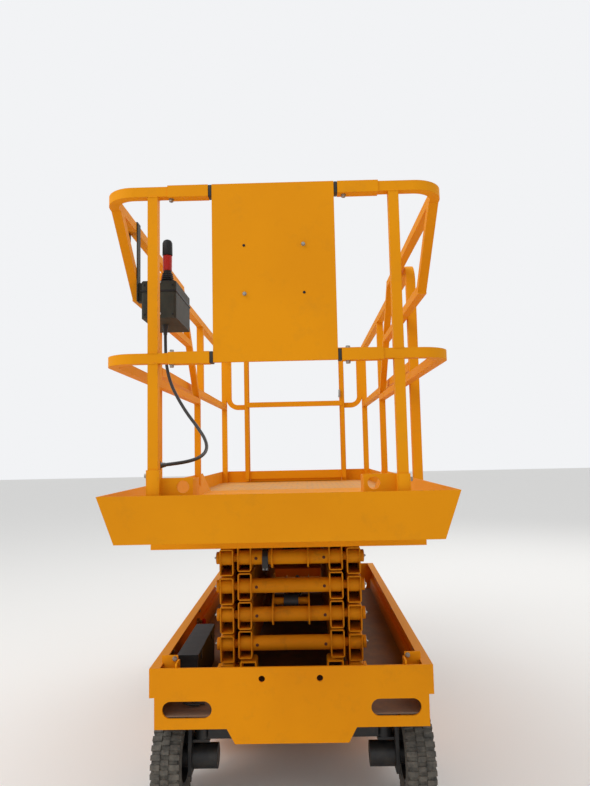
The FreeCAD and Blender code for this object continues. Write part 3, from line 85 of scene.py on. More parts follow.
# Rails
EXT_TUBE, MAIN_TUBE, SLEEVE_T = 32 * MM, 40 * MM, 3 * MM
EXT_LOW, EXT_HIGH = box_corners("extension_rails")
PANEL_FRONT_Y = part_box("front_panel")[0][1]
MAIN_LOW, MAIN_HIGH = box_corners("main_rails")
FRONT_RAIL_Y = EXT_LOW.y + EXT_TUBE / 2 + SLEEVE_T
TOP_RAIL_Z = EXT_HIGH.z - EXT_TUBE / 2 - SLEEVE_T
EXT_MID_DROP, MAIN_MID_DROP = 539 * MM, 461 * MM
EXT_MID_Z, MAIN_MID_Z = TOP_RAIL_Z - EXT_MID_DROP, TOP_RAIL_Z - MAIN_MID_DROP
EXT_RAIL_X = EXT_HIGH.x - EXT_TUBE / 2
EXT_POST_X, BRACKET_IN_X = 385 * MM, 265 * MM
EXT_REAR_POST_Y = 34 * MM
MAIN_RAIL_X = MAIN_HIGH.x - MAIN_TUBE / 2
MAIN_FRONT_Y, MAIN_REAR_Y = MAIN_LOW.y + MAIN_TUBE / 2, MAIN_HIGH.y - MAIN_TUBE / 2
MAIN_UPRIGHT_Y = 442 * MM
GATE_POST_X = 397 * MM
PANEL_X, SLEEVE_X0, SLEEVE_L = 195 * MM, 207 * MM, 130 * MM
EXT_FLOOR_TOP_Z = EXT_LOW.z
DECK_TOP_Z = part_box("deck_floor")[1][2]


# Materials

LOZENGE_PITCH = 26 * MM
PRIMER, BLACK_PAINT = "#6A4326", "#1B1B1C"


def linear(hex_colour):
    """Linear RGBA of an sRGB hex colour."""
    parts = [int(hex_colour[i:i + 2], 16) / 255 for i in (1, 3, 5)]
    return [c / 12.92 if c <= 0.04045 else ((c + 0.055) / 1.055) ** 2.4 for c in parts] + [1.0]


def material(name):
    """New material: its node tree and its shader, ready for colours and patterns."""
    made = bpy.data.materials.new(name)
    made.use_nodes = True
    return made, made.node_tree, made.node_tree.nodes["Principled BSDF"]


def add(tree, kind, settings=None, links=None):
    """Adds a node: settings hold its options and input values, links the sockets that feed it."""
    node = tree.nodes.new(kind)
    for name, value in (settings or {}).items():
        if isinstance(name, int) or name in node.inputs:
            node.inputs[name].default_value = value
        else:
            setattr(node, name, value)
    for name, socket in (links or {}).items():
        tree.links.new(socket, node.inputs[name])
    return node


def per_metre(size_mm):
    """Pattern scale whose features are about this many millimetres wide."""
    return 1 / (size_mm * MM)


def sprayed_enamel(name, base, faded, grime, grime_share, chip_share):
    """Alkyd enamel sprayed on steel: even warm yellow, faint orange peel, a thin film of grime in
    clouds, and edges knocked down to brown primer. The peel is drawn coarser than real, to show."""
    made, tree, shader = material(name)
    point = add(tree, "ShaderNodeTexCoord").outputs["Object"]
    cloud = add(tree, "ShaderNodeTexNoise", {"Scale": per_metre(420), "Detail": 4.0}, {"Vector": point})
    fade = add(tree, "ShaderNodeMapRange", {"From Min": 0.38, "From Max": 0.7},
               {"Value": cloud.outputs["Fac"]})
    paint = add(tree, "ShaderNodeMix", {"data_type": "RGBA", 6: linear(base), 7: linear(faded)},
                {0: fade.outputs[0]})
    film = add(tree, "ShaderNodeTexNoise", {"Scale": per_metre(90), "Detail": 7.0, "Roughness": 0.7},
               {"Vector": point})
    film_share = add(tree, "ShaderNodeMapRange",
                    {"From Min": 0.54, "From Max": 0.8, "To Max": grime_share},
                    {"Value": film.outputs["Fac"]})
    dirty = add(tree, "ShaderNodeMix", {"data_type": "RGBA", 7: linear(grime)},
                {0: film_share.outputs[0], 6: paint.outputs[2]})
    rounded = add(tree, "ShaderNodeBevel", {"samples": 4, "Radius": 3 * MM})
    surface = add(tree, "ShaderNodeNewGeometry")
    facing = add(tree, "ShaderNodeVectorMath", {"operation": "DOT_PRODUCT"},
                 {0: rounded.outputs[0], 1: surface.outputs["Normal"]})
    edge = add(tree, "ShaderNodeMapRange", {"From Min": 0.985, "From Max": 0.86},
               {"Value": facing.outputs["Value"]})
    grit = add(tree, "ShaderNodeTexNoise", {"Scale": per_metre(14), "Detail": 6.0, "Roughness": 0.7},
               {"Vector": point})
    knocks = add(tree, "ShaderNodeMapRange", {"From Min": 0.52, "From Max": 0.6, "To Max": chip_share},
                 {"Value": grit.outputs["Fac"]})
    chipped = add(tree, "ShaderNodeMath", {"operation": "MULTIPLY"},
                  {0: edge.outputs[0], 1: knocks.outputs[0]})
    colour = add(tree, "ShaderNodeMix", {"data_type": "RGBA", 7: linear(PRIMER)},
                 {0: chipped.outputs[0], 6: dirty.outputs[2]})
    gloss = add(tree, "ShaderNodeMapRange", {"To Min": 0.52, "To Max": 0.74},
                {"Value": film.outputs["Fac"]})
    peel = add(tree, "ShaderNodeTexNoise", {"Scale": per_metre(3.5), "Detail": 2.0}, {"Vector": point})
    bump = add(tree, "ShaderNodeBump", {"Strength": 0.12, "Distance": 0.15 * MM},
               {"Height": peel.outputs["Fac"]})
    shader.inputs["Specular IOR Level"].default_value = 0.08
    tree.links.new(colour.outputs[2], shader.inputs["Base Color"])
    tree.links.new(gloss.outputs[0], shader.inputs["Roughness"])
    tree.links.new(bump.outputs[0], shader.inputs["Normal"])
    return made


def dusted_tray_enamel(name, dusty_z, clean_z):
    """Enamel under settled dust: brown grime up to one height, clean yellow from another, and
    little of it on the outside of the tray's walls, where rain washes it off."""
    made, tree, shader = material(name)
    point = add(tree, "ShaderNodeTexCoord").outputs["Object"]
    place = add(tree, "ShaderNodeSeparateXYZ", None, {0: point})
    lying = add(tree, "ShaderNodeMapRange",
                {"From Min": clean_z, "From Max": dusty_z, "To Min": 0.06, "To Max": 0.92},
                {"Value": place.outputs["Z"]})
    settled = add(tree, "ShaderNodeTexNoise", {"Scale": per_metre(55), "Detail": 8.0, "Roughness": 0.7},
                  {"Vector": point})
    patchy = add(tree, "ShaderNodeMapRange",
                 {"From Min": 0.35, "From Max": 0.6, "To Min": 0.9, "To Max": 1.0},
                 {"Value": settled.outputs["Fac"]})
    from_middle = add(tree, "ShaderNodeMath", {"operation": "ABSOLUTE"}, {0: place.outputs["X"]})
    sheltered = add(tree, "ShaderNodeMapRange",
                    {"From Min": TRAY_WALL_X + 2 * MM, "From Max": TRAY_WALL_X + 4 * MM,
                     "To Min": 1.0, "To Max": 0.2}, {"Value": from_middle.outputs[0]})
    kept = add(tree, "ShaderNodeMath", {"operation": "MULTIPLY"},
               {0: patchy.outputs[0], 1: sheltered.outputs[0]})
    share = add(tree, "ShaderNodeMath", {"operation": "MULTIPLY"},
                {0: lying.outputs[0], 1: kept.outputs[0]})
    stain = add(tree, "ShaderNodeTexNoise", {"Scale": per_metre(300), "Detail": 2.0}, {"Vector": point})
    dust = add(tree, "ShaderNodeMix",
               {"data_type": "RGBA", 6: linear("#756E69"), 7: linear("#5E5753")},
               {0: stain.outputs["Fac"]})
    colour = add(tree, "ShaderNodeMix", {"data_type": "RGBA", 6: linear("#E0900F")},
                 {0: share.outputs[0], 7: dust.outputs[2]})
    gloss = add(tree, "ShaderNodeMapRange", {"To Min": 0.55, "To Max": 0.9}, {"Value": share.outputs[0]})
    bump = add(tree, "ShaderNodeBump", {"Strength": 0.1, "Distance": 0.3 * MM},
               {"Height": settled.outputs["Fac"]})
    shader.inputs["Specular IOR Level"].default_value = 0.08
    tree.links.new(colour.outputs[2], shader.inputs["Base Color"])
    tree.links.new(gloss.outputs[0], shader.inputs["Roughness"])
    tree.links.new(bump.outputs[0], shader.inputs["Normal"])
    return made


def tread_plate_enamel():
    """Painted tread plate: raised lozenges worn to bare steel, and dust in clouds."""
    made, tree, shader = material("tread_plate_enamel")
    point = add(tree, "ShaderNodeTexCoord").outputs["Object"]
    turned_to = add(tree, "ShaderNodeMapping",
                    {"Rotation": (0.0, 0.0, math.radians(45)), "Scale": (math.pi / LOZENGE_PITCH,) * 3},
                    {"Vector": point})
    place = add(tree, "ShaderNodeSeparateXYZ", None, {0: turned_to.outputs[0]})
    wave_x = add(tree, "ShaderNodeMath", {"operation": "SINE"}, {0: place.outputs["X"]})
    wave_y = add(tree, "ShaderNodeMath", {"operation": "SINE"}, {0: place.outputs["Y"]})
    lattice = add(tree, "ShaderNodeMath", {"operation": "MULTIPLY"},
                  {0: wave_x.outputs[0], 1: wave_y.outputs[0]})
    lozenge = add(tree, "ShaderNodeMapRange", {"From Min": 0.45, "From Max": 0.7},
                  {"Value": lattice.outputs[0]})
    scuff = add(tree, "ShaderNodeTexNoise", {"Scale": per_metre(70), "Detail": 7.0, "Roughness": 0.65},
                {"Vector": point})
    worn = add(tree, "ShaderNodeMapRange", {"From Min": 0.42, "From Max": 0.66, "To Max": 0.8},
               {"Value": scuff.outputs["Fac"]})
    bare = add(tree, "ShaderNodeMath", {"operation": "MULTIPLY"},
               {0: lozenge.outputs[0], 1: worn.outputs[0]})
    dust_share = add(tree, "ShaderNodeMapRange", {"From Min": 0.4, "From Max": 0.75, "To Max": 0.5},
                     {"Value": scuff.outputs["Fac"]})
    dusty = add(tree, "ShaderNodeMix",
                {"data_type": "RGBA", 6: linear("#D68F14"), 7: linear("#A3854F")},
                {0: dust_share.outputs[0]})
    colour = add(tree, "ShaderNodeMix", {"data_type": "RGBA", 7: linear("#8B8177")},
                 {0: bare.outputs[0], 6: dusty.outputs[2]})
    bump = add(tree, "ShaderNodeBump", {"Strength": 0.8, "Distance": 1.2 * MM},
               {"Height": lozenge.outputs[0]})
    shader.inputs["Roughness"].default_value = 0.6
    tree.links.new(colour.outputs[2], shader.inputs["Base Color"])
    tree.links.new(bump.outputs[0], shader.inputs["Normal"])
    return made


def brushed_black_enamel():
    """Satin black enamel brushed on castings and weldments, with road dust in its grain."""
    made, tree, shader = material("brushed_black_enamel")
    point = add(tree, "ShaderNodeTexCoord").outputs["Object"]
    dust = add(tree, "ShaderNodeTexNoise", {"Scale": per_metre(60), "Detail": 5.0, "Roughness": 0.6},
               {"Vector": point})
    share = add(tree, "ShaderNodeMapRange", {"From Min": 0.45, "From Max": 0.85, "To Max": 0.35},
                {"Value": dust.outputs["Fac"]})
    colour = add(tree, "ShaderNodeMix",
                 {"data_type": "RGBA", 6: linear(BLACK_PAINT), 7: linear("#5E564A")},
                 {0: share.outputs[0]})
    grain = add(tree, "ShaderNodeTexNoise", {"Scale": per_metre(4), "Detail": 2.0}, {"Vector": point})
    bump = add(tree, "ShaderNodeBump", {"Strength": 0.2, "Distance": 0.2 * MM},
               {"Height": grain.outputs["Fac"]})
    shader.inputs["Roughness"].default_value = 0.5
    tree.links.new(colour.outputs[2], shader.inputs["Base Color"])
    tree.links.new(bump.outputs[0], shader.inputs["Normal"])
    return made


def painted_shade_bolt_brown():
    """Painted shade: a mottled dark red-brown that stands for painted bolts in shade."""
    made, tree, shader = material("painted_shade_bolt_brown")
    point = add(tree, "ShaderNodeTexCoord").outputs["Object"]
    mottle = add(tree, "ShaderNodeTexNoise", {"Scale": per_metre(4), "Detail": 4.0}, {"Vector": point})
    colour = add(tree, "ShaderNodeMix",
                 {"data_type": "RGBA", 6: linear("#3A2015"), 7: linear("#6B3818")},
                 {0: mottle.outputs["Fac"]})
    bump = add(tree, "ShaderNodeBump", {"Strength": 0.4, "Distance": 0.2 * MM},
               {"Height": mottle.outputs["Fac"]})
    shader.inputs["Roughness"].default_value = 0.8
    tree.links.new(colour.outputs[2], shader.inputs["Base Color"])
    tree.links.new(bump.outputs[0], shader.inputs["Normal"])
    return made


def hard_chrome():
    """Ground and hard-chromed rod: bright, with an oil film in clouds, and a black painted eye."""
    made, tree, shader = material("hard_chrome")
    point = add(tree, "ShaderNodeTexCoord").outputs["Object"]
    film = add(tree, "ShaderNodeTexNoise", {"Scale": per_metre(25), "Detail": 3.0}, {"Vector": point})
    bright = add(tree, "ShaderNodeMix",
                 {"data_type": "RGBA", 6: linear("#D8D9DA"), 7: linear("#A39D92")},
                 {0: film.outputs["Fac"]})
    place = add(tree, "ShaderNodeSeparateXYZ", None, {0: point})
    shank = add(tree, "ShaderNodeMapRange", {"From Min": ROD_EYE_Y, "From Max": ROD_EYE_Y + 1 * MM},
                {"Value": place.outputs["Y"]})
    colour = add(tree, "ShaderNodeMix", {"data_type": "RGBA", 6: linear(BLACK_PAINT)},
                 {0: shank.outputs[0], 7: bright.outputs[2]})
    polish = add(tree, "ShaderNodeMapRange", {"To Min": 0.08, "To Max": 0.3},
                 {"Value": film.outputs["Fac"]})
    gloss = add(tree, "ShaderNodeMix", {"data_type": "FLOAT", 2: 0.55},
                {0: shank.outputs[0], 3: polish.outputs[0]})
    tree.links.new(shank.outputs[0], shader.inputs["Metallic"])
    tree.links.new(colour.outputs[2], shader.inputs["Base Color"])
    tree.links.new(gloss.outputs[0], shader.inputs["Roughness"])
    return made


def cured_tyre_rubber():
    """Solid tyre rubber, moulded and cured: charcoal, greyed by concrete dust and scuffed."""
    made, tree, shader = material("cured_tyre_rubber")
    point = add(tree, "ShaderNodeTexCoord").outputs["Object"]
    dust = add(tree, "ShaderNodeTexNoise", {"Scale": per_metre(40), "Detail": 7.0, "Roughness": 0.7},
               {"Vector": point})
    share = add(tree, "ShaderNodeMapRange",
                {"From Min": 0.32, "From Max": 0.7, "To Min": 0.08, "To Max": 0.75},
                {"Value": dust.outputs["Fac"]})
    colour = add(tree, "ShaderNodeMix",
                 {"data_type": "RGBA", 6: linear("#2F2F2E"), 7: linear("#7D776C")},
                 {0: share.outputs[0]})
    scuffs = add(tree, "ShaderNodeTexNoise", {"Scale": per_metre(2.5), "Detail": 3.0}, {"Vector": point})
    bump = add(tree, "ShaderNodeBump", {"Strength": 0.4, "Distance": 0.4 * MM},
               {"Height": scuffs.outputs["Fac"]})
    shader.inputs["Roughness"].default_value = 0.88
    tree.links.new(colour.outputs[2], shader.inputs["Base Color"])
    tree.links.new(bump.outputs[0], shader.inputs["Normal"])
    return made


def moulded_abs(name, base, scuffed, roughness):
    """Injection-moulded ABS: leather grain, drawn coarser than real to show, paler where rubbed."""
    made, tree, shader = material(name)
    point = add(tree, "ShaderNodeTexCoord").outputs["Object"]
    wear = add(tree, "ShaderNodeTexNoise", {"Scale": per_metre(45), "Detail": 4.0}, {"Vector": point})
    share = add(tree, "ShaderNodeMapRange", {"From Min": 0.35, "From Max": 0.8, "To Max": 0.5},
                {"Value": wear.outputs["Fac"]})
    colour = add(tree, "ShaderNodeMix", {"data_type": "RGBA", 6: linear(base), 7: linear(scuffed)},
                 {0: share.outputs[0]})
    grain = add(tree, "ShaderNodeTexNoise", {"Scale": per_metre(1.6), "Detail": 2.0}, {"Vector": point})
    bump = add(tree, "ShaderNodeBump", {"Strength": 0.3, "Distance": 0.12 * MM},
               {"Height": grain.outputs["Fac"]})
    shader.inputs["Specular IOR Level"].default_value = 0.3
    shader.inputs["Roughness"].default_value = roughness
    tree.links.new(colour.outputs[2], shader.inputs["Base Color"])
    tree.links.new(bump.outputs[0], shader.inputs["Normal"])
    return made


def zinc_plated_steel():
    """Zinc-plated fasteners: pale grey metal with a dull spangle and white bloom."""
    made, tree, shader = material("zinc_plated_steel")
    point = add(tree, "ShaderNodeTexCoord").outputs["Object"]
    spangle = add(tree, "ShaderNodeTexVoronoi", {"Scale": per_metre(5)}, {"Vector": point})
    colour = add(tree, "ShaderNodeMix",
                 {"data_type": "RGBA", 6: linear("#B4B4AE"), 7: linear("#85837B")},
                 {0: spangle.outputs["Distance"]})
    bump = add(tree, "ShaderNodeBump", {"Strength": 0.2, "Distance": 0.05 * MM},
               {"Height": spangle.outputs["Distance"]})
    shader.inputs["Metallic"].default_value = 1.0
    shader.inputs["Roughness"].default_value = 0.4
    tree.links.new(colour.outputs[2], shader.inputs["Base Color"])
    tree.links.new(bump.outputs[0], shader.inputs["Normal"])
    return made


def extruded_pvc(name, base, film):
    """Extruded PVC sheath: smooth, with greasy finger marks."""
    made, tree, shader = material(name)
    point = add(tree, "ShaderNodeTexCoord").outputs["Object"]
    marks = add(tree, "ShaderNodeTexNoise", {"Scale": per_metre(18), "Detail": 3.0}, {"Vector": point})
    colour = add(tree, "ShaderNodeMix", {"data_type": "RGBA", 6: linear(base), 7: linear(film)},
                 {0: marks.outputs["Fac"]})
    gloss = add(tree, "ShaderNodeMapRange", {"To Min": 0.3, "To Max": 0.6},
                {"Value": marks.outputs["Fac"]})
    tree.links.new(colour.outputs[2], shader.inputs["Base Color"])
    tree.links.new(gloss.outputs[0], shader.inputs["Roughness"])
    return made


ENAMEL = sprayed_enamel("chrome_yellow_enamel", "#E9960D", "#E18F0E", "#A6742A", 0.22, 0.5)
ARM_ENAMEL = sprayed_enamel("scuffed_arm_enamel", "#DB8A0D", "#C97D12", "#6B4A22", 0.55, 0.8)
TRAY_ENAMEL = dusted_tray_enamel("grimy_tray_enamel", 0.49, 0.60)
WALL_ENAMEL = dusted_tray_enamel("dusty_wall_enamel", 0.44, 0.56)
TREAD_PLATE = tread_plate_enamel()
BLACK_ENAMEL = brushed_black_enamel()
CHROME = hard_chrome()
# Painted shade: a dark red-brown for the tube bolts, which are painted bolts seen in shade
SHADED_BOLT_BROWN = painted_shade_bolt_brown()
TYRE_RUBBER = cured_tyre_rubber()
BLACK_ABS = moulded_abs("black_abs", "#111112", "#2B2A29", 0.6)
OLIVE_ABS = moulded_abs("olive_grey_abs", "#2C2D25", "#46463B", 0.7)
RED_ABS = moulded_abs("red_abs", "#B01E16", "#8A2A20", 0.35)
BATTERY_PP = moulded_abs("battery_polypropylene", "#1F2023", "#3B3B3E", 0.6)
ZINC = zinc_plated_steel()
SHEATH = extruded_pvc("black_pvc_sheath", "#131313", "#2C2A27")

SLOT_FINISH = {
    # The rims take black enamel as painted shade: their own colour is unseen, and the wheels' inner sides
    # stand in shade
    "paint": ENAMEL, "dark_steel": BLACK_ENAMEL, "rod_chrome": CHROME, "rim_steel": BLACK_ENAMEL,
    "tyre_rubber": TYRE_RUBBER, "black_plastic": BLACK_ABS, "battery_case": BATTERY_PP,
    "cable_rubber": SHEATH,
}
NODE_FINISH = {
    "deck_floor": TREAD_PLATE, "extension_deck": ENAMEL, "chassis_floor": TRAY_ENAMEL,
    "chassis_side_members": WALL_ENAMEL, "lower_tracks": WALL_ENAMEL, "control_box": OLIVE_ABS,
}


# Radius of the outer edges of painted and moulded nodes, in millimetres
EDGE_R = {"main_rails": 5.0, "extension_rails": 4.0, "entry_gate": 4.0, "ladder": 3.0}
SHEET_EDGE_R = 1.5


def finish_cad_nodes():
    """Gives each node its finish, and painted or moulded nodes their rounded edges."""
    slot_of = {part["node"]: part["material_slot"] for part in frame["record"]["subparts"]}
    for name, node in NODES.items():
        finish = NODE_FINISH.get(name, SLOT_FINISH[slot_of[name]])
        if name.startswith(("inner_arms", "outer_arms")):
            finish = ARM_ENAMEL
        node.data.materials.clear()
        node.data.materials.append(finish)
        if slot_of[name] in ("paint", "black_plastic"):
            rounded = node.modifiers.new("rounded edges", "BEVEL")
            rounded.width = EDGE_R.get(name, SHEET_EDGE_R) * MM
            rounded.segments = 3 if name in EDGE_R else 2
            rounded.limit_method = "ANGLE"
            rounded.angle_limit = math.radians(50)


# Mesh helpers

def fit_piece(name, data, finish, body):
    """Puts a mesh or a curve on the lift, in its finish, riding on one body."""
    data.materials.append(finish)
    piece = bpy.data.objects.new(name, data)
    bpy.context.scene.collection.objects.link(piece)
    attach(piece, body)
    return piece


def new_piece(name, shape, finish, body, smooth_angle=35):
    """Piece made from a finished shape. Edges that turn more than the smooth angle stay crisp."""
    bmesh.ops.recalc_face_normals(shape, faces=shape.faces)
    mesh = bpy.data.meshes.new(name)
    shape.to_mesh(mesh)
    shape.free()
    mesh.shade_smooth()
    mesh.set_sharp_from_angle(angle=math.radians(smooth_angle))
    return fit_piece(name, mesh, finish, body)


def turned(shape, profile, centre, axis, steps, closed=False):
    """Turns (distance along the axis, radius) pairs round an axis through centre."""
    axis = Vector(axis).normalized()
    across = axis.orthogonal().normalized()
    other = axis.cross(across)
    rings = []
    for along, radius in profile:
        ring = []
        for i in range(steps):
            angle = math.tau * i / steps
            offset = (across * math.cos(angle) + other * math.sin(angle)) * radius
            ring.append(shape.verts.new(Vector(centre) + axis * along + offset))
        rings.append(ring)
    pairs = list(zip(rings, rings[1:]))
    if closed:
        pairs.append((rings[-1], rings[0]))
    for low, high in pairs:
        for i in range(steps):
            j = (i + 1) % steps
            shape.faces.new((low[i], low[j], high[j], high[i]))
    if not closed:
        shape.faces.new(rings[0][::-1])
        shape.faces.new(rings[-1])


def band(shape, centre, axis, half, inner_r, outer_r, steps):
    """Flat ring round a tube."""
    turned(shape, [(-half, inner_r), (-half, outer_r), (half, outer_r), (half, inner_r)],
           centre, axis, steps, closed=True)


def weld_ring(shape, centre, axis, radius, bead=3.5 * MM):
    """Fillet weld round a tube, as a ring of bead."""
    section = [(bead * math.cos(a), radius + bead * 0.6 * math.sin(a))
               for a in (math.tau * i / 6 for i in range(6))]
    turned(shape, section, centre, axis, 28, closed=True)


def hex_bolt(shape, at, axis, across_flats, washer=True):
    """Chamfered hexagon head on a washer, seated on a face at a point."""
    radius = across_flats / math.sqrt(3)
    head = across_flats * 0.6
    base = 0.0
    if washer:
        base = across_flats * 0.12
        turned(shape, [(0, across_flats * 0.64), (base, across_flats * 0.64)], at, axis, 20)
    turned(shape, [(base, radius), (base + head * 0.85, radius), (base + head, radius * 0.84)],
           at, axis, 6)


def button_screw(shape, at, axis, diameter):
    """Low domed screw head."""
    r = diameter / 2
    turned(shape, [(0, r), (r * 0.25, r * 0.96), (r * 0.45, r * 0.72), (r * 0.5, r * 0.3)], at, axis, 18)


def block(shape, low, high, cut=0.0):
    """Box between two corners, with all its edges rounded by the cut."""
    made = bmesh.ops.create_cube(shape, size=1.0)["verts"]
    centre = (Vector(low) + Vector(high)) / 2
    size = Vector(high) - Vector(low)
    for vert in made:
        vert.co = centre + Vector(c * s for c, s in zip(vert.co, size))
    if cut:
        edges = list(dict.fromkeys(edge for vert in made for edge in vert.link_edges))
        bmesh.ops.bevel(shape, geom=edges, offset=cut, segments=2, affect="EDGES", profile=0.5)


# Section of a rippled weld bead, in bead heights: along the tube, outwards from it
WELD_SECTION = ((1, 0), (0.3, 0.9), (-0.9, 0.4), (-0.9, -0.4), (0.3, -0.9))


def weld_square(shape, centre, axis, half, bead=2.6 * MM, ripples=9):
    """Weld round a square tube where it meets another: a square loop of small ripples."""
    axis = Vector(axis).normalized()
    across = Vector((0, 0, 1)) if abs(axis.z) < 0.5 else Vector((1, 0, 0))
    other = axis.cross(across)
    corners = [across * half + other * half, other * half - across * half,
               -across * half - other * half, across * half - other * half]
    rings = []
    for start, end in zip(corners, corners[1:] + corners[:1]):
        along = (end - start).normalized()
        outward = along.cross(axis)
        for step in range(ripples):
            at = Vector(centre) + start.lerp(end, step / ripples)
            lift = bead * (1.0 if step % 2 else 0.8)
            rings.append([shape.verts.new(at + axis * lift * u + outward * lift * v)
                          for u, v in WELD_SECTION])
    count = len(WELD_SECTION)
    for low, high in zip(rings, rings[1:] + rings[:1]):
        for i in range(count):
            j = (i + 1) % count
            shape.faces.new((low[i], low[j], high[j], high[i]))


def nurbs_line(name, route, diameter, finish, body):
    """Round line that hangs or runs along a smooth route."""
    curve = bpy.data.curves.new(name, "CURVE")
    curve.dimensions = "3D"
    spline = curve.splines.new("NURBS")
    spline.points.add(len(route) - 1)
    for point, place in zip(spline.points, route):
        point.co = (*place, 1.0)
    spline.order_u = 3
    spline.use_endpoint_u = True
    spline.resolution_u = 12
    curve.bevel_depth = diameter / 2
    curve.bevel_resolution = 5
    curve.use_fill_caps = True
    return fit_piece(name, curve, finish, body)


# Wheels

TYRE_STEPS = 96
LUG_COUNT = 32
LUG_DEPTH = 9 * MM
BEAD_R = 118 * MM
LUG_DRAFT = 0.012
LUG_QUADS = ((0, 1, 3, 2), (4, 6, 7, 5), (0, 4, 5, 1), (2, 3, 7, 6), (1, 5, 7, 3))
HUB_FACE_INSET = 14 * MM
NUT_COUNT, NUT_CIRCLE_R, NUT_FLATS = 5, 50 * MM, 17 * MM


def wheel_frame(node):
    """Corners and centre of a tyre or rim, and the side of the lift that it is on."""
    low, high = box_corners(node)
    side = 1 if low.x + high.x > 0 else -1
    return low, high, (low + high) / 2, side


def treaded_tyre(node, body):
    """Tyre with staggered tread blocks, in the space of its solid."""
    low, high, centre, _ = wheel_frame(node)
    radius, half = (high.z - low.z) / 2, (high.x - low.x) / 2
    floor = radius - LUG_DEPTH
    # Distance from the tyre's middle plane, radius
    wall = [(half - 8 * MM, BEAD_R), (half - 1 * MM, BEAD_R + 12 * MM), (half, floor - 40 * MM),
            (half - 2 * MM, floor - 18 * MM), (half - 12 * MM, floor - 3 * MM), (half - 24 * MM, floor)]
    shape = bmesh.new()
    turned(shape, [(-x, r) for x, r in wall] + wall[::-1], centre, (1, 0, 0), TYRE_STEPS, closed=True)
    pitch = math.tau / LUG_COUNT
    root, shoulder_root, drop = floor - 1 * MM, floor - 16 * MM, 5 * MM
    # How far in from the tyre's side the shoulder row starts and ends, and the middle row starts
    side_in, shoulder_in, middle_in = 1.5 * MM, 44 * MM, 49 * MM
    rows = (
        # from x, to x, share of the pitch, shift in pitches, root and crown at each end
        (-half + side_in, -half + shoulder_in, 0.66, 0.0, (shoulder_root, root), (radius - drop, radius)),
        (-half + middle_in, half - middle_in, 0.60, 0.5, (root, root), (radius, radius)),
        (half - shoulder_in, half - side_in, 0.66, 0.0, (root, shoulder_root), (radius, radius - drop)),
    )
    for i in range(LUG_COUNT):
        for x0, x1, share, shift, roots, crowns in rows:
            verts = []
            for x, inner, outer in zip((x0, x1), roots, crowns):
                for edge in (-1, 1):
                    for r, lean in ((inner, 0.0), (outer, LUG_DRAFT)):
                        angle = (i + shift + edge * share / 2) * pitch - edge * lean
                        offset = Vector((x, math.sin(angle) * r, math.cos(angle) * r))
                        verts.append(shape.verts.new(centre + offset))
            for quad in LUG_QUADS:
                shape.faces.new([verts[k] for k in quad])
    piece = new_piece(node + "_treaded", shape, TYRE_RUBBER, body)
    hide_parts(node)


def wheel_nuts(node, body):
    """Wheel nuts and a hub cap on the outer face of a rim."""
    low, high, centre, side = wheel_frame(node)
    face = (high.x if side > 0 else low.x) - side * HUB_FACE_INSET
    shape = bmesh.new()
    for i in range(NUT_COUNT):
        angle = math.tau * i / NUT_COUNT
        at = (face, centre.y + NUT_CIRCLE_R * math.cos(angle), centre.z + NUT_CIRCLE_R * math.sin(angle))
        hex_bolt(shape, at, (side, 0, 0), NUT_FLATS, washer=False)
    turned(shape, [(-4 * MM, 30 * MM), (6 * MM, 29 * MM), (10 * MM, 24 * MM), (12 * MM, 15 * MM),
                   (12.5 * MM, 4 * MM)], (face, centre.y, centre.z), (side, 0, 0), 32)
    new_piece(node + "_nuts", shape, ZINC, body, 40)


def wheels():
    """Treads and nuts of the four wheels."""
    for name in ("front_left", "front_right", "rear_left", "rear_right"):
        treaded_tyre(name + "_tyre", name + "_wheel")
        wheel_nuts(name + "_rim", name + "_wheel")


# Stack

def pin_hardware(level):
    """Weld rings, tube bolts and pin caps that turn with one inner pair of arms."""
    body = "inner_%d" % level
    near, far, middle = NEAR[level], FAR[level], MIDDLE[level]
    welds, bolts, caps = bmesh.new(), bmesh.new(), bmesh.new()
    for side in SIDES:
        for tube, facing in ((near, -1), (far, 1)):
            weld_ring(welds, tube + Vector((side * ARM_INNER_X, 0, 0)), (1, 0, 0), CROSS_TUBE_R)
            at = tube + Vector((side * (ARM_INNER_X - TUBE_BOLT_INSET), facing * CROSS_TUBE_R, 0))
            button_screw(bolts, at, (0, facing, 0), TUBE_BOLT_D)
        heads = [(near, PIN_HEAD_X if level < LEVELS[-1] else TOP_PIN_HEAD_X), (middle, PIN_HEAD_X)]
        if level > 1:
            heads.append((far, PIN_HEAD_X))
        for pin, head_x in heads:
            face = pin + Vector((side * (head_x + PIN_HEAD_T), 0, 0))
            turned(caps, [(-1 * MM, PIN_HEAD_R - 3 * MM), (1.5 * MM, PIN_HEAD_R - 5 * MM),
                          (2 * MM, 11 * MM), (5 * MM, 6 * MM), (9 * MM, 4 * MM), (11 * MM, 2.5 * MM)],
                   face, (side, 0, 0), 24)
    new_piece("tube_welds_%d" % level, welds, ARM_ENAMEL, body, 60)
    # The tube bolts are drawn dark red-brown: painted shade on painted bolts
    new_piece("tube_bolts_%d" % level, bolts, SHADED_BOLT_BROWN, body, 50)
    new_piece("pin_caps_%d" % level, caps, ZINC, body, 40)


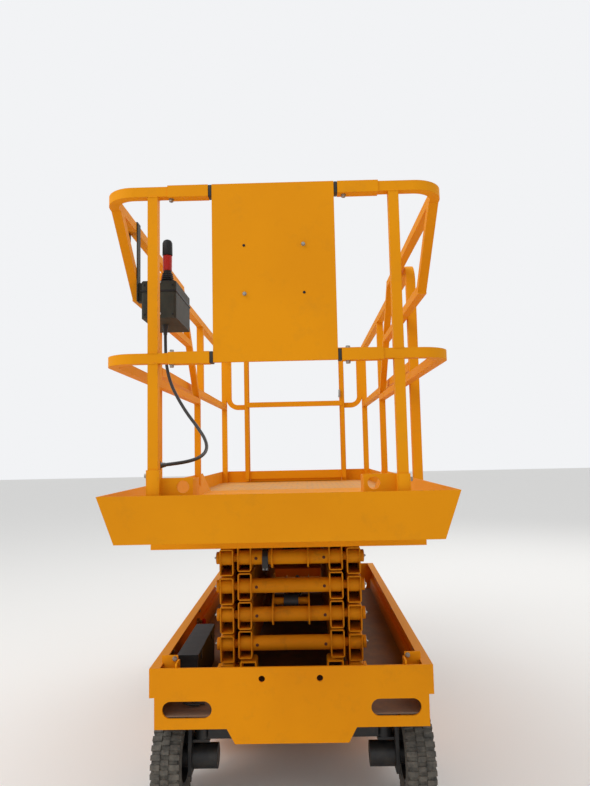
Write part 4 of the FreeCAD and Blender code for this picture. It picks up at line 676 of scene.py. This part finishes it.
def tube_strap():
    """Black strap buckled round the top cross tube, with its riveted tail hanging down."""
    centre = NEAR[4] + Vector((STRAP_X, 0, 0))
    half, outer_r = STRAP_HALF_W, CROSS_TUBE_R + STRAP_T
    tail_t, tail_top, tail_end = 4 * MM, centre.z + 10 * MM, centre.z - 56 * MM
    rivet_x, rivet_z, rivet_d = 8 * MM, tail_end + 7 * MM, 8 * MM
    strap, rivets = bmesh.new(), bmesh.new()
    band(strap, centre, (1, 0, 0), half, CROSS_TUBE_R + 0.3 * MM, outer_r, 40)
    front = centre.y - outer_r
    block(strap, (centre.x - half, front - tail_t, tail_end), (centre.x + half, front, tail_top), 1.2 * MM)
    for side in SIDES:
        button_screw(rivets, (centre.x + side * rivet_x, front - tail_t, rivet_z), (0, -1, 0), rivet_d)
    new_piece("tube_strap", strap, SHEATH, "inner_4", 40)
    new_piece("strap_rivets", rivets, ZINC, "inner_4", 40)


HARD_LINE_D = 12 * MM
HARD_LINE = (
    # along the barrel from its base pin, above its axis, sideways, in millimetres
    (150, 50, 0), (190, 54, 0), (240, 52, 12), (700, 52, 12),
    (1250, 52, 12), (1640, 54, 10), (1700, 60, 4), (1745, 54, 0),
)
BAND_PLACES, BAND_HALF_W, BAND_T = (520, 1100), 9 * MM, 3 * MM


def cylinder_ports(name):
    """Ports at both ends of a lift cylinder's barrel, the hard line between them and its bands."""
    low, high = box_corners(name + "_barrel")
    base = PIVOT[name + "_barrel_pin"]
    along = Vector((0, low.y - base.y, high.z - BARREL_COLLAR_R - base.z)).normalized()
    up = Vector((1, 0, 0)).cross(along)
    if up.z < 0:
        up = -up
    route = [base + along * d * MM + up * h * MM + Vector((x * MM, 0, 0)) for d, h, x in HARD_LINE]
    nurbs_line(name + "_hard_line", route, HARD_LINE_D, BLACK_ENAMEL, name + "_barrel")
    shape = bmesh.new()
    for d in (HARD_LINE[0][0], HARD_LINE[-1][0]):
        at = base + along * d * MM + up * (BARREL_R - 2 * MM)
        turned(shape, [(0, 17 * MM), (14 * MM, 17 * MM), (16 * MM, 12 * MM), (24 * MM, 11 * MM)],
               at, up, 6)
    for d in BAND_PLACES:
        band(shape, base + along * d * MM, along, BAND_HALF_W, BARREL_R + 0.2 * MM, BARREL_R + BAND_T, 36)
    new_piece(name + "_ports", shape, ZINC, name + "_barrel", 40)


def stack():
    """Small parts of the five levels and of both lift cylinders."""
    for level in LEVELS:
        pin_hardware(level)
    tube_strap()
    for name in ("lower", "upper"):
        cylinder_ports(name)


# Chassis

LUG_X, LUG_FLANGE_Y, LUG_FLANGE_Z0, LUG_FLANGE_Z1 = 505 * MM, -694 * MM, 608 * MM, 700 * MM
LUG_FLANGE_W, LUG_FLANGE_T = 72 * MM, 6 * MM
LUG_BOLT_X, LUG_BOLT_Z = LUG_X + 14 * MM, 686 * MM
WALL_BOLT_YS, WALL_BOLT_Z = (-350 * MM, 450 * MM, 1350 * MM), 610 * MM
SADDLE_BOLT_X, SADDLE_FOOT_Z = 236 * MM, 462 * MM
FRAME_BOLT_FLATS, SADDLE_BOLT_FLATS = 17 * MM, 19 * MM
AXLE_SADDLES = (
    # y of the saddle's middle, half the distance between its bolts
    (-538 * MM, 32 * MM),
    (1350 * MM, 55 * MM),
)
VALVE_Y, VALVE_Z = 390 * MM, 560 * MM


def chassis_hardware():
    """Bolts in the corner lugs, in the tray walls and under the axle saddles."""
    bolts = bmesh.new()
    for side in SIDES:
        hex_bolt(bolts, (side * LUG_BOLT_X, LUG_FLANGE_Y, LUG_BOLT_Z), (0, -1, 0), FRAME_BOLT_FLATS)
        for y in WALL_BOLT_YS:
            hex_bolt(bolts, (side * TRAY_WALL_X, y, WALL_BOLT_Z), (-side, 0, 0), FRAME_BOLT_FLATS)
        for middle_y, half_d in AXLE_SADDLES:
            for y in (middle_y - half_d, middle_y + half_d):
                at = (side * SADDLE_BOLT_X, y, SADDLE_FOOT_Z)
                hex_bolt(bolts, at, (0, 0, -1), SADDLE_BOLT_FLATS)
    new_piece("chassis_bolts", bolts, ZINC, "chassis", 40)


def lug_flanges():
    """Folded flanges that stand across the corner lugs, seen over the front plate."""
    shape = bmesh.new()
    for side in SIDES:
        left, right = sorted((side * LUG_X, side * (LUG_X + LUG_FLANGE_W)))
        block(shape, (left, LUG_FLANGE_Y, LUG_FLANGE_Z0),
              (right, LUG_FLANGE_Y + LUG_FLANGE_T, LUG_FLANGE_Z1), 1 * MM)
    new_piece("lug_flanges", shape, ENAMEL, "chassis")


def lowering_valve():
    """Red knob of the hand lowering valve on the left tray wall, behind the ground control box."""
    at = Vector((-TRAY_WALL_X, VALVE_Y, VALVE_Z))
    body, knob = bmesh.new(), bmesh.new()
    turned(body, [(0, 20 * MM), (16 * MM, 20 * MM), (18 * MM, 9 * MM), (34 * MM, 8 * MM)],
           at, (1, 0, 0), 24)
    turned(knob, [(32 * MM, 9 * MM), (34 * MM, 17 * MM), (48 * MM, 19 * MM), (53 * MM, 15 * MM),
                  (55 * MM, 6 * MM)], at, (1, 0, 0), 28)
    new_piece("lowering_valve", body, ZINC, "chassis", 40)
    new_piece("lowering_knob", knob, RED_ABS, "chassis", 40)


# Ground control box in the tray
BOX_LATCH_INSET, BOX_LATCH_HALF_W = 100 * MM, 14 * MM
BOX_GLAND_RISE, BOX_LEAD_D = 60 * MM, 11 * MM
BOX_LEADS = (
    # name, offset of the gland in x, route after it from the box's foot, in millimetres
    ("left", 30, ((0, -40, 60), (0, -70, 45), (18, -92, 18), (48, -100, 9), (90, -96, 9))),
    ("right", 64, ((0, -36, 60), (0, -60, 50), (14, -80, 22), (42, -86, 9), (78, -82, 9))),
)


def ground_box_fittings():
    """Latches, cable glands and leads of the box in the tray."""
    low, high = box_corners("ground_control_box")
    shape = bmesh.new()
    for y in (low.y + BOX_LATCH_INSET, high.y - BOX_LATCH_INSET):
        block(shape, (high.x - 4 * MM, y - BOX_LATCH_HALF_W, high.z - 48 * MM),
              (high.x + 3 * MM, y + BOX_LATCH_HALF_W, high.z - 8 * MM), 1.5 * MM)
    for _, offset, _ in BOX_LEADS:
        turned(shape, [(-4 * MM, 13 * MM), (8 * MM, 13 * MM), (9 * MM, 10 * MM), (20 * MM, 9 * MM)],
               (low.x + offset * MM, low.y + 3 * MM, low.z + BOX_GLAND_RISE), (0, -1, 0), 6)
    new_piece("ground_box_latches", shape, BLACK_ENAMEL, "chassis")
    for name, offset, turns in BOX_LEADS:
        foot = Vector((low.x + offset * MM, low.y, low.z))
        route = [foot + Vector((0, -12 * MM, BOX_GLAND_RISE))] + [foot + Vector(p) * MM for p in turns]
        nurbs_line("ground_box_lead_" + name, route, BOX_LEAD_D, SHEATH, "chassis")


DOOR_FACE_INSET, DOOR_LATCH_INSET, DOOR_LATCH_RISE = 10 * MM, 120 * MM, 130 * MM
DOOR_LATCH_TURN_H, DOOR_LATCH_TURN_W = 22 * MM, 6 * MM


def door_fittings():
    """Quarter-turn latches on the side doors."""
    for side, body in ((-1, "left_door"), (1, "right_door")):
        low, high = box_corners(body)
        face = (high.x if side > 0 else low.x) - side * DOOR_FACE_INSET
        half_w, half_h = DOOR_LATCH_TURN_W / 2, DOOR_LATCH_TURN_H / 2
        z = low.z + DOOR_LATCH_RISE
        shape = bmesh.new()
        for y in (low.y + DOOR_LATCH_INSET, high.y - DOOR_LATCH_INSET):
            turned(shape, [(0, 15 * MM), (5 * MM, 15 * MM), (7 * MM, 11 * MM)],
                   (face, y, z), (side, 0, 0), 24)
            block(shape, (face - 1 * MM, y - half_w, z - half_h),
                  (face + side * 12 * MM, y + half_w, z + half_h))
        new_piece(body + "_latches", shape, BLACK_ABS, body)


def chassis():
    """Small parts of the chassis, its tray and its doors."""
    chassis_hardware()
    lug_flanges()
    lowering_valve()
    ground_box_fittings()
    door_fittings()


# Platform

REAR_RAIL_DROP = 5 * MM
GATE_LATCH_IN, GATE_LATCH_BACK, GATE_LATCH_RISE = 26 * MM, 35 * MM, 90 * MM
CROSS_MEMBER_YS = (-700 * MM, -360 * MM, 0.0, 360 * MM)
CROSS_MEMBER_H, CROSS_MEMBER_W, CROSS_MEMBER_T = 42 * MM, 38 * MM, 5 * MM
SILL_GAP, SILL_H, SILL_W, SILL_T = 8 * MM, 50 * MM, 30 * MM, 4 * MM


def platform_welds():
    """Welds where the main rails' tubes meet."""
    shape = bmesh.new()
    half = MAIN_TUBE / 2
    for side in SIDES:
        x = side * MAIN_RAIL_X
        for z, axis in ((MAIN_MID_Z + half, 1), (TOP_RAIL_Z - half, -1)):
            weld_square(shape, (x, MAIN_UPRIGHT_Y, z), (0, 0, axis), half)
        weld_square(shape, (x, MAIN_FRONT_Y + half, MAIN_MID_Z), (0, 1, 0), half)
        weld_square(shape, (x, MAIN_REAR_Y - half, MAIN_MID_Z), (0, -1, 0), half)
        weld_square(shape, (side * (GATE_POST_X + half), MAIN_REAR_Y, MAIN_MID_Z - REAR_RAIL_DROP),
                    (side, 0, 0), half)
        for post_x, y in ((x, MAIN_FRONT_Y), (x, MAIN_REAR_Y), (side * GATE_POST_X, MAIN_REAR_Y)):
            weld_square(shape, (post_x, y, DECK_TOP_Z), (0, 0, 1), half)
    new_piece("main_rail_welds", shape, ENAMEL, "platform", 60)


def deck_cross_members():
    """Folded cross members that stiffen the main deck's floor from below."""
    low, high = box_corners("deck_floor")
    half_w, foot_z = high.x - 8 * MM, low.z - CROSS_MEMBER_H
    shape = bmesh.new()
    for y in CROSS_MEMBER_YS:
        for end_y, top_z in ((y + CROSS_MEMBER_T, low.z), (y + CROSS_MEMBER_W, foot_z + CROSS_MEMBER_T)):
            block(shape, (-half_w, y, foot_z), (half_w, end_y, top_z), 0.8 * MM)
    new_piece("deck_cross_members", shape, ENAMEL, "platform")


def gate_latch():
    """Spring bolt on the gate's free upright."""
    gate_y = box_corners("entry_gate")[1].y
    at = Vector((GATE_POST_X - GATE_LATCH_IN, gate_y - GATE_LATCH_BACK, MAIN_MID_Z + GATE_LATCH_RISE))
    shape = bmesh.new()
    block(shape, at + Vector((-4, -26, -30)) * MM, at + Vector((9, 2, 30)) * MM, 1.5 * MM)
    turned(shape, [(-34 * MM, 5 * MM), (-30 * MM, 8 * MM), (-22 * MM, 8 * MM), (-20 * MM, 5 * MM),
                   (26 * MM, 5 * MM)], at + Vector((0, -20, 0)) * MM, (0, 0, 1), 20)
    new_piece("gate_latch", shape, ZINC, "entry_gate")


def gate_sill():
    """Low angle on the deck below the gate, which closes the gap under its kick plate."""
    y = box_corners("entry_gate")[1].y + SILL_GAP
    half_w = GATE_POST_X - MAIN_TUBE / 2 - 2 * MM
    shape = bmesh.new()
    for depth, height in ((SILL_T, SILL_H), (SILL_W, SILL_T)):
        block(shape, (-half_w, y, DECK_TOP_Z), (half_w, y + depth, DECK_TOP_Z + height), 0.8 * MM)
    new_piece("gate_sill", shape, ENAMEL, "platform")


def platform():
    """Welds, cross members and gate fittings of the main deck."""
    platform_welds()
    deck_cross_members()
    gate_latch()
    gate_sill()


# Extension

PANEL_BOLT_X, PANEL_BOLT_HIGH_Z, PANEL_BOLT_LOW_Z = 94 * MM, 2251 * MM, 2095 * MM
SOCKET_T, SOCKET_FIT, FLANGE_T, FLANGE_L = 4 * MM, 0.4 * MM, 5 * MM, 105 * MM
SLEEVE_BOLT_FLATS = 13 * MM


def extension_welds():
    """Welds on the extension's posts and rails."""
    shape = bmesh.new()
    half = EXT_TUBE / 2
    for side in SIDES:
        post, rail = side * EXT_POST_X, side * EXT_RAIL_X
        weld_square(shape, (post, FRONT_RAIL_Y, EXT_FLOOR_TOP_Z), (0, 0, 1), half)
        for z, axis in ((TOP_RAIL_Z - half, -1), (EXT_MID_Z - half, -1), (EXT_MID_Z + half, 1)):
            weld_square(shape, (post, FRONT_RAIL_Y, z), (0, 0, axis), half)
        weld_square(shape, (rail, EXT_REAR_POST_Y, EXT_MID_Z - half), (0, 0, -1), half)
    new_piece("extension_welds", shape, ENAMEL, "extension", 60)


def rail_places():
    """Side and height of the four rail ends that meet the front panel."""
    return [(side, z) for side in SIDES for z in (TOP_RAIL_Z, EXT_MID_Z)]


def sleeve_bolts():
    """One bolt through each sleeve: near its outer end on the left, its inner end on the right."""
    shape = bmesh.new()
    drop = EXT_TUBE / 2 + SLEEVE_T
    bolt_x = {-1: -SLEEVE_X0 - (SLEEVE_L - 9 * MM), 1: SLEEVE_X0 + 20 * MM}
    for side, z in rail_places():
        x = bolt_x[side]
        hex_bolt(shape, (x, FRONT_RAIL_Y, z - drop), (0, 0, -1), SLEEVE_BOLT_FLATS)
        if z < TOP_RAIL_Z:
            hex_bolt(shape, (x, FRONT_RAIL_Y, z + drop), (0, 0, 1), SLEEVE_BOLT_FLATS)
    new_piece("sleeve_bolts", shape, ZINC, "extension", 40)


def gap_shade_collars():
    """Dark collars that fill the joints between the sleeves and the panel: painted shade, standing for the
    shadow in those gaps.
    """
    shape = bmesh.new()
    half = EXT_TUBE / 2 + SLEEVE_T - 0.5 * MM
    for side, z in rail_places():
        near, far = sorted((side * PANEL_X, side * SLEEVE_X0))
        block(shape, (near + 0.5 * MM, FRONT_RAIL_Y - half + 1 * MM, z - half),
              (far - 0.5 * MM, FRONT_RAIL_Y + half, z + half), 1.5 * MM)
    # Painted shade: black sheath pieces where the gaps are in shadow
    new_piece("gap_shade_collars", shape, SHEATH, "extension")


def panel_fasteners():
    """Two screws and two blanking plugs on the front panel, crosswise as in the photograph."""
    screws, plugs = bmesh.new(), bmesh.new()
    for side in SIDES:
        heights = (PANEL_BOLT_LOW_Z, PANEL_BOLT_HIGH_Z)
        screw_z, plug_z = heights if side < 0 else heights[::-1]
        hex_bolt(screws, (side * PANEL_BOLT_X, PANEL_FRONT_Y, screw_z), (0, -1, 0), 10 * MM)
        button_screw(plugs, (side * PANEL_BOLT_X, PANEL_FRONT_Y, plug_z), (0, -1, 0), 9 * MM)
    new_piece("panel_screws", screws, ZINC, "extension", 40)
    new_piece("panel_plugs", plugs, BLACK_ABS, "extension", 40)


def post_sockets():
    """Square sockets that the near posts stand in, their bolts, and the bracket plates' flanges."""
    low, high = box_corners("bracket_plates")
    sockets, bolts = bmesh.new(), bmesh.new()
    outer, inner = EXT_TUBE / 2 + SOCKET_T, EXT_TUBE / 2 + SOCKET_FIT
    table = (
        # side, top of the socket, height of its bolt, both from the top of the bracket plate
        (-1, 26 * MM, 8 * MM),
        (1, 0.0, -18 * MM),
    )
    for side, rise, bolt_z in table:
        post = side * EXT_POST_X
        for x0, x1, y0, y1 in ((-outer, -inner, -outer, outer), (inner, outer, -outer, outer),
                               (-inner, inner, -outer, -inner), (-inner, inner, inner, outer)):
            block(sockets, (post + x0, FRONT_RAIL_Y + y0, low.z),
                  (post + x1, FRONT_RAIL_Y + y1, high.z + rise), 0.6 * MM)
        hex_bolt(bolts, (post + side * outer, FRONT_RAIL_Y, high.z + bolt_z), (side, 0, 0),
                 SLEEVE_BOLT_FLATS)
        left, right = sorted((side * BRACKET_IN_X, side * (BRACKET_IN_X + FLANGE_T)))
        block(sockets, (left, high.y, low.z), (right, high.y + FLANGE_L, high.z - 4 * MM), 0.8 * MM)
    new_piece("post_sockets", sockets, ENAMEL, "extension")
    new_piece("socket_bolts", bolts, ZINC, "extension", 40)


STICK_BAND_DOWN, STICK_BAND_H = 118 * MM, 56 * MM
BOOT_FOLDS, BOOT_FOLD_H = 5, 8


def joystick():
    """Joystick: bellows boot, red middle band and a black rounded top."""
    low, high = box_corners("joystick")
    centre = (low + high) / 2
    foot = Vector((centre.x, centre.y, low.z))
    height = high.z - low.z
    band_low = height - STICK_BAND_DOWN
    band_high = band_low + STICK_BAND_H
    boot = [(0, 26 * MM), (4 * MM, 26 * MM)]
    for fold in range(BOOT_FOLDS):
        z = (6 + fold * BOOT_FOLD_H) * MM
        boot += [(z, (22.5 - fold) * MM), (z + 4 * MM, (25.5 - 1.4 * fold) * MM)]
    black, red = bmesh.new(), bmesh.new()
    turned(black, boot + [(46 * MM, 15 * MM), (band_low, 15 * MM)], foot, (0, 0, 1), 40)
    turned(black, [(band_high, 17 * MM), (band_high + 2 * MM, 19 * MM), (height - 14 * MM, 18.5 * MM),
                   (height - 5 * MM, 14.5 * MM), (height - 1 * MM, 8 * MM), (height, 2 * MM)],
           foot, (0, 0, 1), 40)
    turned(red, [(band_low - 4 * MM, 14 * MM), (band_low, 16.6 * MM), (band_high - 3 * MM, 17.4 * MM),
                 (band_high + 1 * MM, 15 * MM)], foot, (0, 0, 1), 40)
    grip = new_piece("joystick_grip", black, BLACK_ABS, "extension", 30)
    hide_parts("joystick")
    new_piece("joystick_band", red, RED_ABS, "extension", 30)


# Control box on the left rail of the extension
CONTROL_BOX_LEFT_X, CONTROL_BOX_DROP = -500 * MM, 208 * MM
STOP_IN, STOP_BACK = 64 * MM, 55 * MM
SWITCHES = (
    # from the box's left side, from its rear side, in millimetres
    (36, 125), (64, 125), (92, 125), (36, 165), (92, 165),
)


def box_controls():
    """Stop button, toggle switches, lid, its flange and the screws of the control box."""
    low, high = box_corners("control_box")
    top = TOP_RAIL_Z - CONTROL_BOX_DROP
    x0, x1 = CONTROL_BOX_LEFT_X, high.x
    black, red, zinc = bmesh.new(), bmesh.new(), bmesh.new()
    block(black, (x0 + 5 * MM, low.y + 5 * MM, top - 1 * MM), (x1 - 5 * MM, high.y - 5 * MM, top + 3 * MM),
          1.2 * MM)
    block(black, (x0 - 2 * MM, low.y - 2 * MM, top - 40 * MM), (x1 + 2 * MM, high.y + 2 * MM, top - 32 * MM),
          1.5 * MM)
    stop = (x0 + STOP_IN, high.y - STOP_BACK, top + 3 * MM)
    turned(black, [(0, 21 * MM), (4 * MM, 20 * MM), (5 * MM, 13 * MM), (15 * MM, 12 * MM)],
           stop, (0, 0, 1), 32)
    turned(red, [(14 * MM, 13 * MM), (16 * MM, 19 * MM), (23 * MM, 19 * MM), (27 * MM, 15 * MM),
                 (28 * MM, 6 * MM)], stop, (0, 0, 1), 36)
    for x, y in SWITCHES:
        at = (x0 + x * MM, high.y - y * MM, top + 3 * MM)
        turned(zinc, [(0, 8 * MM), (3 * MM, 8 * MM), (4 * MM, 5 * MM), (9 * MM, 4 * MM), (22 * MM, 2.2 * MM),
                      (24 * MM, 3.2 * MM), (26 * MM, 1.5 * MM)], at, (0, 0, 1), 14)
    for x in (x0 + 12 * MM, x1 - 12 * MM):
        for z in (low.z + 14 * MM, top - 14 * MM):
            button_screw(black, (x, low.y, z), (0, -1, 0), 8 * MM)
            button_screw(black, (x, high.y, z), (0, 1, 0), 8 * MM)
    for z in (top - 4 * MM, low.z + 16 * MM):
        button_screw(zinc, (x0 + 69 * MM, low.y, z), (0, -1, 0), 9 * MM)
    for name, shape, finish, slot in (("box_trim", black, BLACK_ABS, "black_plastic"),
                                      ("stop_button", red, RED_ABS, "black_plastic"),
                                      ("box_switches", zinc, ZINC, "dark_steel")):
        new_piece(name, shape, finish, "extension", 40)


CABLE_DIAMETER = 12 * MM
CABLE_ROUTE = (
    (-0.440, -1.222, 2.091), (-0.440, -1.222, 2.020), (-0.436, -1.228, 1.935),
    (-0.417, -1.238, 1.862), (-0.385, -1.258, 1.803), (-0.349, -1.280, 1.748),
    (-0.304, -1.308, 1.693), (-0.270, -1.342, 1.648), (-0.256, -1.390, 1.611),
    (-0.268, -1.445, 1.586), (-0.300, -1.500, 1.572), (-0.352, -1.545, 1.565),
    (-0.383, -1.598, 1.562),
)
RELIEF_L, RELIEF_RINGS = 38 * MM, 6


def control_cable():
    """Cable that hangs from the control box and goes into the socket on the left front post,
    with a ringed strain relief that narrows away from each end."""
    piece = nurbs_line("control_cable_sheath", CABLE_ROUTE, CABLE_DIAMETER, SHEATH, "extension")
    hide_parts("control_cable")
    shape = bmesh.new()
    for end, before in ((CABLE_ROUTE[0], CABLE_ROUTE[1]), (CABLE_ROUTE[-1], CABLE_ROUTE[-2])):
        along = (Vector(before) - Vector(end)).normalized()
        profile = []
        for ring in range(RELIEF_RINGS):
            share = ring / (RELIEF_RINGS - 1)
            r = (12 - 4.5 * share) * MM
            profile += [(RELIEF_L * share - 2 * MM, r), (RELIEF_L * share + 2 * MM, r - 1.2 * MM)]
        turned(shape, profile, end, along, 24)
    reliefs = new_piece("cable_reliefs", shape, SHEATH, "extension", 30)


def extension():
    """Small parts of the sliding front deck, its rails and its controls."""
    extension_welds()
    sleeve_bolts()
    gap_shade_collars()
    panel_fasteners()
    post_sockets()
    joystick()
    box_controls()


# Stage

FLOOR_HALF = 40.0


def camera():
    """Camera that sees the lift as the photograph does."""
    data = bpy.data.cameras.new("photo_camera")
    data.sensor_width = SENSOR
    data.lens = SENSOR * FOCAL_PX / PHOTO_H
    data.clip_end = 100
    eye = bpy.data.objects.new("photo_camera", data)
    bpy.context.scene.collection.objects.link(eye)
    turn = Matrix.Rotation(TURN_LEFT, 4, "Z") @ Matrix.Rotation(math.pi / 2 + PITCH_UP, 4, "X")
    eye.matrix_world = Matrix.Translation(CAMERA_AT) @ turn @ Matrix.Rotation(ROLL, 4, "Z")
    bpy.context.scene.camera = eye
    bpy.context.scene.view_settings.view_transform = "Standard"


def stage():
    """Pale matt floor."""
    mesh = bpy.data.meshes.new("floor")
    half = FLOOR_HALF
    mesh.from_pydata([(-half, -half, 0), (half, -half, 0), (half, half, 0), (-half, half, 0)], [],
                     [(0, 1, 2, 3)])
    made, _, shader = material("pale_floor")
    shader.inputs["Base Color"].default_value = linear("#EEECE8")
    shader.inputs["Roughness"].default_value = 0.9
    mesh.materials.append(made)
    floor = bpy.data.objects.new("floor", mesh)
    bpy.context.scene.collection.objects.link(floor)


def studio_world():
    """Even light from all round; rays that show the background see a pale wall."""
    world = bpy.data.worlds.new("studio")
    bpy.context.scene.world = world
    world.use_nodes = True
    tree = world.node_tree
    lit = tree.nodes["Background"]
    lit.inputs["Color"].default_value = linear("#F4F6F9")
    lit.inputs["Strength"].default_value = 0.82
    wall = add(tree, "ShaderNodeBackground", {"Color": linear("#F2F3F5"), "Strength": 1.0})
    path = add(tree, "ShaderNodeLightPath")
    seen = add(tree, "ShaderNodeMath", {"operation": "MAXIMUM"},
               {0: path.outputs["Is Camera Ray"], 1: path.outputs["Is Transmission Ray"]})
    shown = add(tree, "ShaderNodeMath", {"operation": "MAXIMUM"},
                {0: seen.outputs[0], 1: path.outputs["Is Glossy Ray"]})
    both = add(tree, "ShaderNodeMixShader", None,
               {0: shown.outputs[0], 1: lit.outputs[0], 2: wall.outputs[0]})
    tree.links.new(both.outputs[0], tree.nodes["World Output"].inputs["Surface"])


def lamps():
    """Two large soft lamps: a key from the front left, a weaker one from behind on the right."""
    table = (
        # name, place, aim, size, watts
        ("key", (-4.5, -3.5, 7.0), (0, 0, 1.2), 5.0, 230),
        ("back", (3.5, 5.5, 6.5), (0, 0, 1.4), 5.0, 150),
    )
    for name, place, aim, size, watts in table:
        data = bpy.data.lights.new(name, "AREA")
        data.size = size
        data.energy = watts
        lamp = bpy.data.objects.new(name, data)
        bpy.context.scene.collection.objects.link(lamp)
        lamp.location = place
        lamp.rotation_mode = "QUATERNION"
        lamp.rotation_quaternion = (Vector(aim) - Vector(place)).to_track_quat("-Z", "Y")


camera()
control_cable()
finish_cad_nodes()
wheels()
stack()
chassis()
platform()
extension()
stage()
studio_world()
lamps()
